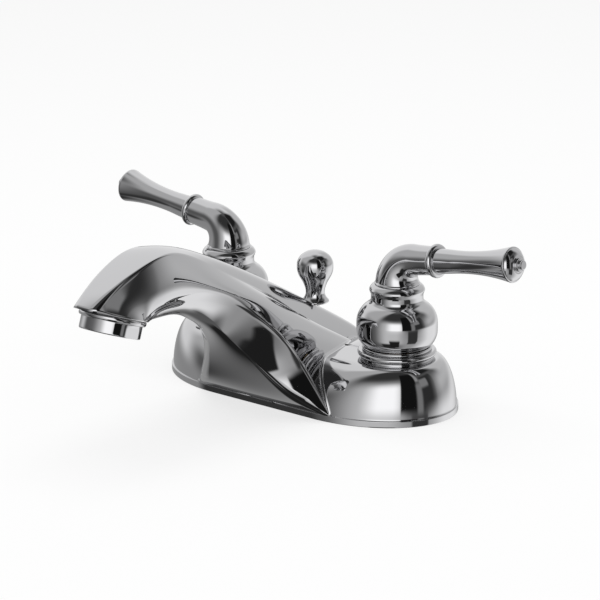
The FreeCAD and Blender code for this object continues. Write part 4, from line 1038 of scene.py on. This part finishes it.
# %% [markdown]
# The arm is a bar that bends over and gets thinner. Its rings follow the bend, and their
# radius is a smooth curve through a few measured ones.

# %% Arms
ARM_BEND = 11.5
ARM_FOOT = 59.5
ARM_END = 21.2
ARM_LENGTHS = (0.0, 1.3, 6.7, 12.2, 17.8, 29.0)
ARM_RADII = (9.9, 9.83, 8.94, 7.9, 7.07, 6.45)
FOOT_RING = 10.3
FOOT_RING_HEIGHT = 0.75
FOOT_RING_SOFT = 0.15
# The first two rings of the arm above its foot ring.
ARM_START = (1.0, 1.4)
ARM_RINGS = 60


def arm_rows(side):
    """Rings from the hub, round the bend and out along the lever, after a low foot ring."""
    turn = math.pi / 2 - LEVER_TILT
    springing = LEVER_HEIGHT - ARM_BEND * math.tan(turn / 2)
    rise = springing - ARM_FOOT
    straight = ARM_END - ARM_BEND * math.tan(turn / 2)
    total = rise + ARM_BEND * turn + straight
    fitted = np.polynomial.Polynomial.fit(ARM_LENGTHS, ARM_RADII, 4)
    low_steps = [0.0, FOOT_RING_SOFT, FOOT_RING_HEIGHT - FOOT_RING_SOFT, FOOT_RING_HEIGHT]
    steps = np.concatenate([low_steps, [ARM_START[0]],
                            np.linspace(ARM_START[1], total, ARM_RINGS)])
    angles = np.linspace(0, 2 * math.pi, SMOOTH_TURNS, endpoint=False)
    rows = []
    for step in steps:
        bent = np.clip((step - rise) / ARM_BEND, 0, turn)
        beyond = max(step - rise - ARM_BEND * turn, 0)
        outward = np.array([math.sin(bent), 0, math.cos(bent)])
        inward = np.array([math.cos(bent), 0, -math.sin(bent)])
        middle = np.array([ARM_BEND * (1 - math.cos(bent)), 0,
                           ARM_FOOT + min(step, rise) + ARM_BEND * math.sin(bent)])
        radius = float(fitted(step))
        if step in low_steps:
            radius = FOOT_RING - (FOOT_RING_SOFT if step in (0.0, FOOT_RING_HEIGHT) else 0.0)
        ring = np.cos(angles)[:, None] * inward + np.sin(angles)[:, None] * np.array([0, 1.0, 0])
        row = middle + outward * beyond + radius * ring
        rows.append(row * (side, 1, 1) + (side * HANDLE_SPACING / 2, 0, 0))
    return rows


for word, side in (("hot", -1), ("cold", 1)):
    chrome_piece(arm_rows(side), "arm_" + word, word + "_handle", word + "_handle_arm")

# %% [markdown]
# The knob of the lift rod is pear-shaped. The outlet fitting has a rounded bead against the
# nose and two flats for a spanner, where the turned outline is simply cut back.

# %% Lift knob and outlet
ROD_BACK = 3.0
KNOB = [(0, 52.9), (2.05, 52.9), (2.05, 40.9), (6.4, 40.9), (6.4, 41.7),
        (4.4, 46.3, 5.4, -1), (7.35, 53.2, 17.4, -1), (8.55, 58.3, 11.1, 1),
        (5.64, 64.0, 7.15, 1), (0.6, 65.6, 11.5, 1), (0, 65.6)]
KNOB_TRIM = [0.2, 0.2, 0.25, 0.25, 1.0, 1.5, 1.5, 1.5, 0.2]
OUTLET = [(8.3, -6.6), (8.3, -8.2), (12.85, -8.2), (13.45, -7.6, 0.65, 1), (13.45, -2.4),
          (14.3, -2.4), (14.3, 0, 1.68, 1), (10.65, 0), (10.65, 2.4), (9.25, 2.4),
          (9.25, -6.6), (8.3, -6.6)]
OUTLET_TRIM = 0.25
OUTLET_TURNS = 192
# The flats lie this far from the axis, and run out over a short slope below the bead.
FLAT_HALF = 12.8
FLAT_TOP = -3.2
FLAT_RUNOUT = 0.6
FLAT_SLOPE = 1.2

knob_rows = spin(outline(KNOB, KNOB_TRIM), centre=(0, ROD_BACK, 0))
chrome_piece(knob_rows, "knob", "lift_rod", "lift_knob")
outlet_rows = []
for radius, along in outline(OUTLET, OUTLET_TRIM)[:-1]:
    row = spin([(radius, along)], OUTLET_TURNS, (UP_OUTLET, np.array([1.0, 0, 0])), SEAT)[0]
    if along < FLAT_TOP + FLAT_RUNOUT:
        limit = FLAT_HALF + max(along - FLAT_TOP, 0) * FLAT_SLOPE
        row[:, 0] = np.clip(row[:, 0], -limit, limit)
    outlet_rows.append(row)
chrome_piece(outlet_rows, "outlet", "root", "aerator_housing", ring=True)

# %% [markdown]
# ## Rings that repeat
#
# The shanks under the deck have a thread of many turns. A Geometry Nodes tree makes them: a
# round bar closed to a ring, set on each point of a line. The modifier is evaluated once, and
# its mesh is the piece. The trim ring under each handle has three beads that differ, so it is
# turned like the pieces before.

# %% Stack of rings
THREAD_TURNS = 24
THREAD_PITCH = 1.8
THREAD_RADIUS = 10.2
THREAD_BAR = 0.45
THREAD_BOTTOM = -50.5
BAR_TURNS = 20


def ring_tree():
    """A Geometry Nodes tree that sets a ring of round bar on each point of a line."""
    tree = bpy.data.node_groups.new("ring_stack", "GeometryNodeTree")
    for label, kind in (("Count", "NodeSocketInt"), ("Pitch", "NodeSocketFloat"),
                        ("Ring Radius", "NodeSocketFloat"), ("Bar Radius", "NodeSocketFloat"),
                        ("Place", "NodeSocketVector"), ("Finish", "NodeSocketMaterial")):
        tree.interface.new_socket(label, in_out="INPUT", socket_type=kind)
    tree.interface.new_socket("Geometry", in_out="OUTPUT", socket_type="NodeSocketGeometry")
    source = tree.nodes.new("NodeGroupInput")
    drain = tree.nodes.new("NodeGroupOutput")
    path = tree.nodes.new("GeometryNodeCurvePrimitiveCircle")
    path.inputs["Resolution"].default_value = SMOOTH_TURNS
    bar = tree.nodes.new("GeometryNodeCurvePrimitiveCircle")
    bar.inputs["Resolution"].default_value = BAR_TURNS
    sweep = tree.nodes.new("GeometryNodeCurveToMesh")
    smooth = tree.nodes.new("GeometryNodeSetShadeSmooth")
    line = tree.nodes.new("GeometryNodeMeshLine")
    offset = tree.nodes.new("ShaderNodeCombineXYZ")
    copies = tree.nodes.new("GeometryNodeInstanceOnPoints")
    joined = tree.nodes.new("GeometryNodeRealizeInstances")
    finish = tree.nodes.new("GeometryNodeSetMaterial")
    wires = (
        (source.outputs["Ring Radius"], path.inputs["Radius"]),
        (source.outputs["Bar Radius"], bar.inputs["Radius"]),
        (path.outputs["Curve"], sweep.inputs["Curve"]),
        (bar.outputs["Curve"], sweep.inputs["Profile Curve"]),
        (sweep.outputs["Mesh"], smooth.inputs["Geometry"]),
        (source.outputs["Count"], line.inputs["Count"]),
        (source.outputs["Place"], line.inputs["Start Location"]),
        (source.outputs["Pitch"], offset.inputs["Z"]),
        (offset.outputs["Vector"], line.inputs["Offset"]),
        (line.outputs["Mesh"], copies.inputs["Points"]),
        (smooth.outputs["Geometry"], copies.inputs["Instance"]),
        (copies.outputs["Instances"], joined.inputs["Geometry"]),
        (joined.outputs["Geometry"], finish.inputs["Geometry"]),
        (source.outputs["Finish"], finish.inputs["Material"]),
        (finish.outputs["Geometry"], drain.inputs["Geometry"]))
    for start, end in wires:
        tree.links.new(start, end)
    return tree


RINGS = ring_tree()


def stack_mesh(values):
    """Mesh of a stack of rings, from the tree's inputs given by name."""
    holder = bpy.data.objects.new("ring_holder", bpy.data.meshes.new("ring_holder"))
    bpy.context.scene.collection.objects.link(holder)
    maker = holder.modifiers.new("rings", "NODES")
    maker.node_group = RINGS
    for socket in RINGS.interface.items_tree:
        if socket.in_out == "INPUT" and socket.name in values:
            maker[socket.identifier] = values[socket.name]
    holder.update_tag()
    mesh = bpy.data.meshes.new_from_object(
        holder.evaluated_get(bpy.context.evaluated_depsgraph_get()))
    holder.modifiers.remove(maker)
    bpy.data.objects.remove(holder)
    return mesh


for word, side in (("hot", -1), ("cold", 1)):
    across = side * HANDLE_SPACING / 2
    beads = spin(outline(RING, RING_TRIM)[:-1], SMOOTH_TURNS, None, (across, 0, 0))
    chrome_piece(beads, "ring_" + word, "root", word + "_trim_ring", ring=True)
    thread = bpy.data.objects.new("thread_" + word, stack_mesh({
        "Count": THREAD_TURNS, "Pitch": THREAD_PITCH * MM, "Ring Radius": THREAD_RADIUS * MM,
        "Bar Radius": THREAD_BAR * MM, "Place": (across * MM, 0.0, THREAD_BOTTOM * MM),
        "Finish": brass}))
    bpy.context.scene.collection.objects.link(thread)
    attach(thread, "root")
print("rings and threads made")

# %% [markdown]
# ## Floor and plain light
#
# The picture was taken on a white sweep. The floor and the world are white where the camera
# and the mirror rays look at them, while a soft lamp overhead and a grey world light the
# plain surfaces at an ordinary level. The floor still takes a share of its real shading, so
# the shadow under the faucet stays.

# %% Floor, world and lamp
def background_share(tree):
    """1 for camera, glossy and transmission rays and 0 for the rays that light things."""
    path = tree.nodes.new("ShaderNodeLightPath")
    seen = add_math(tree, "MAXIMUM", path.outputs["Is Camera Ray"], path.outputs["Is Glossy Ray"])
    return add_math(tree, "MAXIMUM", seen, path.outputs["Is Transmission Ray"])


def blend_shaders(tree, share, plain, white, output):
    """Send a mix of a plain and a white shader to the tree's output."""
    blend = add_node(tree, "MixShader")
    tree.links.new(share, blend.inputs["Fac"])
    tree.links.new(plain.outputs[0], blend.inputs[1])
    tree.links.new(white.outputs[0], blend.inputs[2])
    tree.links.new(blend.outputs["Shader"], tree.nodes[output].inputs["Surface"])


FLOOR_GLOW = 0.72
FLOOR_CORNERS = ((-4, -4, 0), (4, -4, 0), (4, 4, 0), (-4, 4, 0))
ROOM_STRENGTH = 0.75
LAMP_SIZE = 1.2
LAMP_HEIGHT = 1.3
LAMP_POWER = 9

floor_mesh = bpy.data.meshes.new("floor")
floor_mesh.from_pydata(FLOOR_CORNERS, [], [(0, 1, 2, 3)])
floor = bpy.data.objects.new("floor", floor_mesh)
bpy.context.scene.collection.objects.link(floor)
paper = bpy.data.materials.new("floor_paper")
paper.use_nodes = True
plain_paper = paper.node_tree.nodes["Principled BSDF"]
plain_paper.inputs["Base Color"].default_value = (0.9, 0.9, 0.9, 1)
plain_paper.inputs["Roughness"].default_value = 0.9
plain_paper.inputs["Specular IOR Level"].default_value = 0.0
share = add_math(paper.node_tree, "MULTIPLY", background_share(paper.node_tree), FLOOR_GLOW)
blend_shaders(paper.node_tree, share, plain_paper, add_node(paper.node_tree, "Emission"),
              "Material Output")
floor.data.materials.append(paper)

world = bpy.data.worlds.new("studio")
world.use_nodes = True
bpy.context.scene.world = world
room = world.node_tree.nodes["Background"]
room.inputs["Color"].default_value = (0.9, 0.9, 0.9, 1)
room.inputs["Strength"].default_value = ROOM_STRENGTH
sweep = add_node(world.node_tree, "Background")
sweep.inputs["Color"].default_value = (1, 1, 1, 1)
blend_shaders(world.node_tree, background_share(world.node_tree), room, sweep, "World Output")

lamp = bpy.data.objects.new("top_light", bpy.data.lights.new("top_light", "AREA"))
lamp.data.shape = "RECTANGLE"
lamp.data.size, lamp.data.size_y = LAMP_SIZE, LAMP_SIZE
lamp.data.energy = LAMP_POWER
lamp.location = (0, 0, LAMP_HEIGHT)
lamp.visible_glossy = False
bpy.context.scene.collection.objects.link(lamp)

# %% [markdown]
# ## Tent of cards
#
# Chrome has no colour of its own: it shows what stands around it. A photographer therefore
# builds a tent of white and grey cards round the faucet, with black cards, called flags, for
# the dark lines that give a round form its edge. The tent here is a sphere whose glow is
# laid out card by card. Every card is a soft-edged patch between two directions, turned from
# the camera, and between two heights. It is white behind the faucet, as the picture is. Only
# mirror rays meet it, so it neither lights the floor nor stands in the camera's way.

# %% Cards of the tent
TENT_RADIUS = 3.5
TENT_GREY = 0.14
TENT_TURNS = 288
TENT_LEVELS = 144
CARDS = (
    # name, left, right, low, high, softness sideways and upwards (all in degrees), glow
    ("backdrop", 130, 250, -12, 74, 30, 26, 1.0),
    ("left wall", 236, 298, 22, 88, 26, 24, 0.62),
    ("left low wall", 180, 272, -46, -2, 16, 16, 0.38),
    ("left flag", -96, -76, -64, -10, 12, 16, 0.05),
    ("front of the table", 12, 85, -88, -14, 50, 16, 0.46),
    ("left of the table", -165, -42, -88, -53, 12, 8, 0.02),
    ("front fill", -50, 15, -40, 34, 44, 24, 0.80),
    ("softbox", -26, 13, -8, 29, 24, 16, 1.65),
    ("ceiling", -52, 40, 44, 82, 20, 14, 0.05),
    ("low black card", -52, -8, -62, -38, 8, 8, 0.03),
    ("front black card", -24, 6, -56, -21, 4, 4, 0.02),
    ("black flag", 12.5, 40, -8, 60, 2, 10, 0.01),
    ("grey strip", 39, 49, -14, 24, 5, 8, 0.27),
    ("high strip", 41, 47, 30, 60, 2, 6, 0.40),
    ("side flag", 50, 82, -10, 40, 5, 10, 0.04),
    ("side card", 48, 66, 16, 32, 4, 6, 0.30),
    ("high flag", 50, 122, 46, 82, 16, 10, 0.02),
    ("right wall", 86, 160, -6, 24, 34, 30, 0.72),
    ("right high wall", 112, 165, 16, 52, 24, 16, 0.75),
    ("right low wall", 74, 150, -62, -7, 56, 14, 1.20),
    ("low black flag", 29, 58, -38, -10, 4, 8, 0.05),
)


def ease(value):
    """From 0 to 1 with a soft start and a soft end."""
    value = np.clip(value, 0, 1)
    return value * value * (3 - 2 * value)


def tent_glow(directions):
    """Glow of the tent in each direction, with the later cards in front."""
    toward = np.array([math.sin(CAMERA_AZIMUTH), -math.cos(CAMERA_AZIMUTH), 0])
    aside = np.array([math.cos(CAMERA_AZIMUTH), math.sin(CAMERA_AZIMUTH), 0])
    turn = np.degrees(np.arctan2(directions @ aside, directions @ toward))
    rise = np.degrees(np.arcsin(np.clip(directions[:, 2], -1, 1)))
    glow = np.full(len(directions), TENT_GREY)
    for _, left, right, low, high, soft, soft_up, value in CARDS:
        off = np.abs((turn - (left + right) / 2 + 180) % 360 - 180)
        cover = ease(((right - left) / 2 - off) / soft + 0.5)
        cover = cover * ease((rise - low) / soft_up + 0.5) * ease((high - rise) / soft_up + 0.5)
        glow += (value - glow) * cover
    return glow


def make_tent():
    """The sphere with its glow on the points, met by mirror rays alone."""
    mesh = bpy.data.meshes.new("tent")
    work = bmesh.new()
    bmesh.ops.create_uvsphere(work, u_segments=TENT_TURNS, v_segments=TENT_LEVELS,
                              radius=TENT_RADIUS)
    bmesh.ops.reverse_faces(work, faces=work.faces)
    work.to_mesh(mesh)
    work.free()
    points = np.array([vertex.co for vertex in mesh.vertices]) / TENT_RADIUS
    mesh.attributes.new("glow", "FLOAT", "POINT").data.foreach_set("value", tent_glow(points))
    cloth = bpy.data.materials.new("tent_cloth")
    cloth.use_nodes = True
    cloth.node_tree.nodes.clear()
    glow = add_node(cloth.node_tree, "Attribute")
    glow.attribute_name = "glow"
    light = add_node(cloth.node_tree, "Emission")
    drain = add_node(cloth.node_tree, "OutputMaterial")
    cloth.node_tree.links.new(glow.outputs["Fac"], light.inputs["Strength"])
    cloth.node_tree.links.new(light.outputs["Emission"], drain.inputs["Surface"])
    cloth.cycles.emission_sampling = "NONE"
    mesh.materials.append(cloth)
    tent = bpy.data.objects.new("tent", mesh)
    bpy.context.scene.collection.objects.link(tent)
    for switch in ("camera", "diffuse", "transmission", "volume_scatter", "shadow"):
        setattr(tent, "visible_" + switch, False)
    return tent


tent = make_tent()
floor.visible_glossy = False

# %% [markdown]
# With the floor out of the mirror image, the brass under the deck would glint in the casting,
# where a real deck hides it. The pieces that reach below the deck are left out of it too.

# %% Keep what is under the deck out of the mirror image
for thing in bpy.data.objects:
    if thing.type == "MESH" and thing not in (floor, tent):
        if min(corner[2] for corner in thing.bound_box) < -MM:
            thing.visible_glossy = False
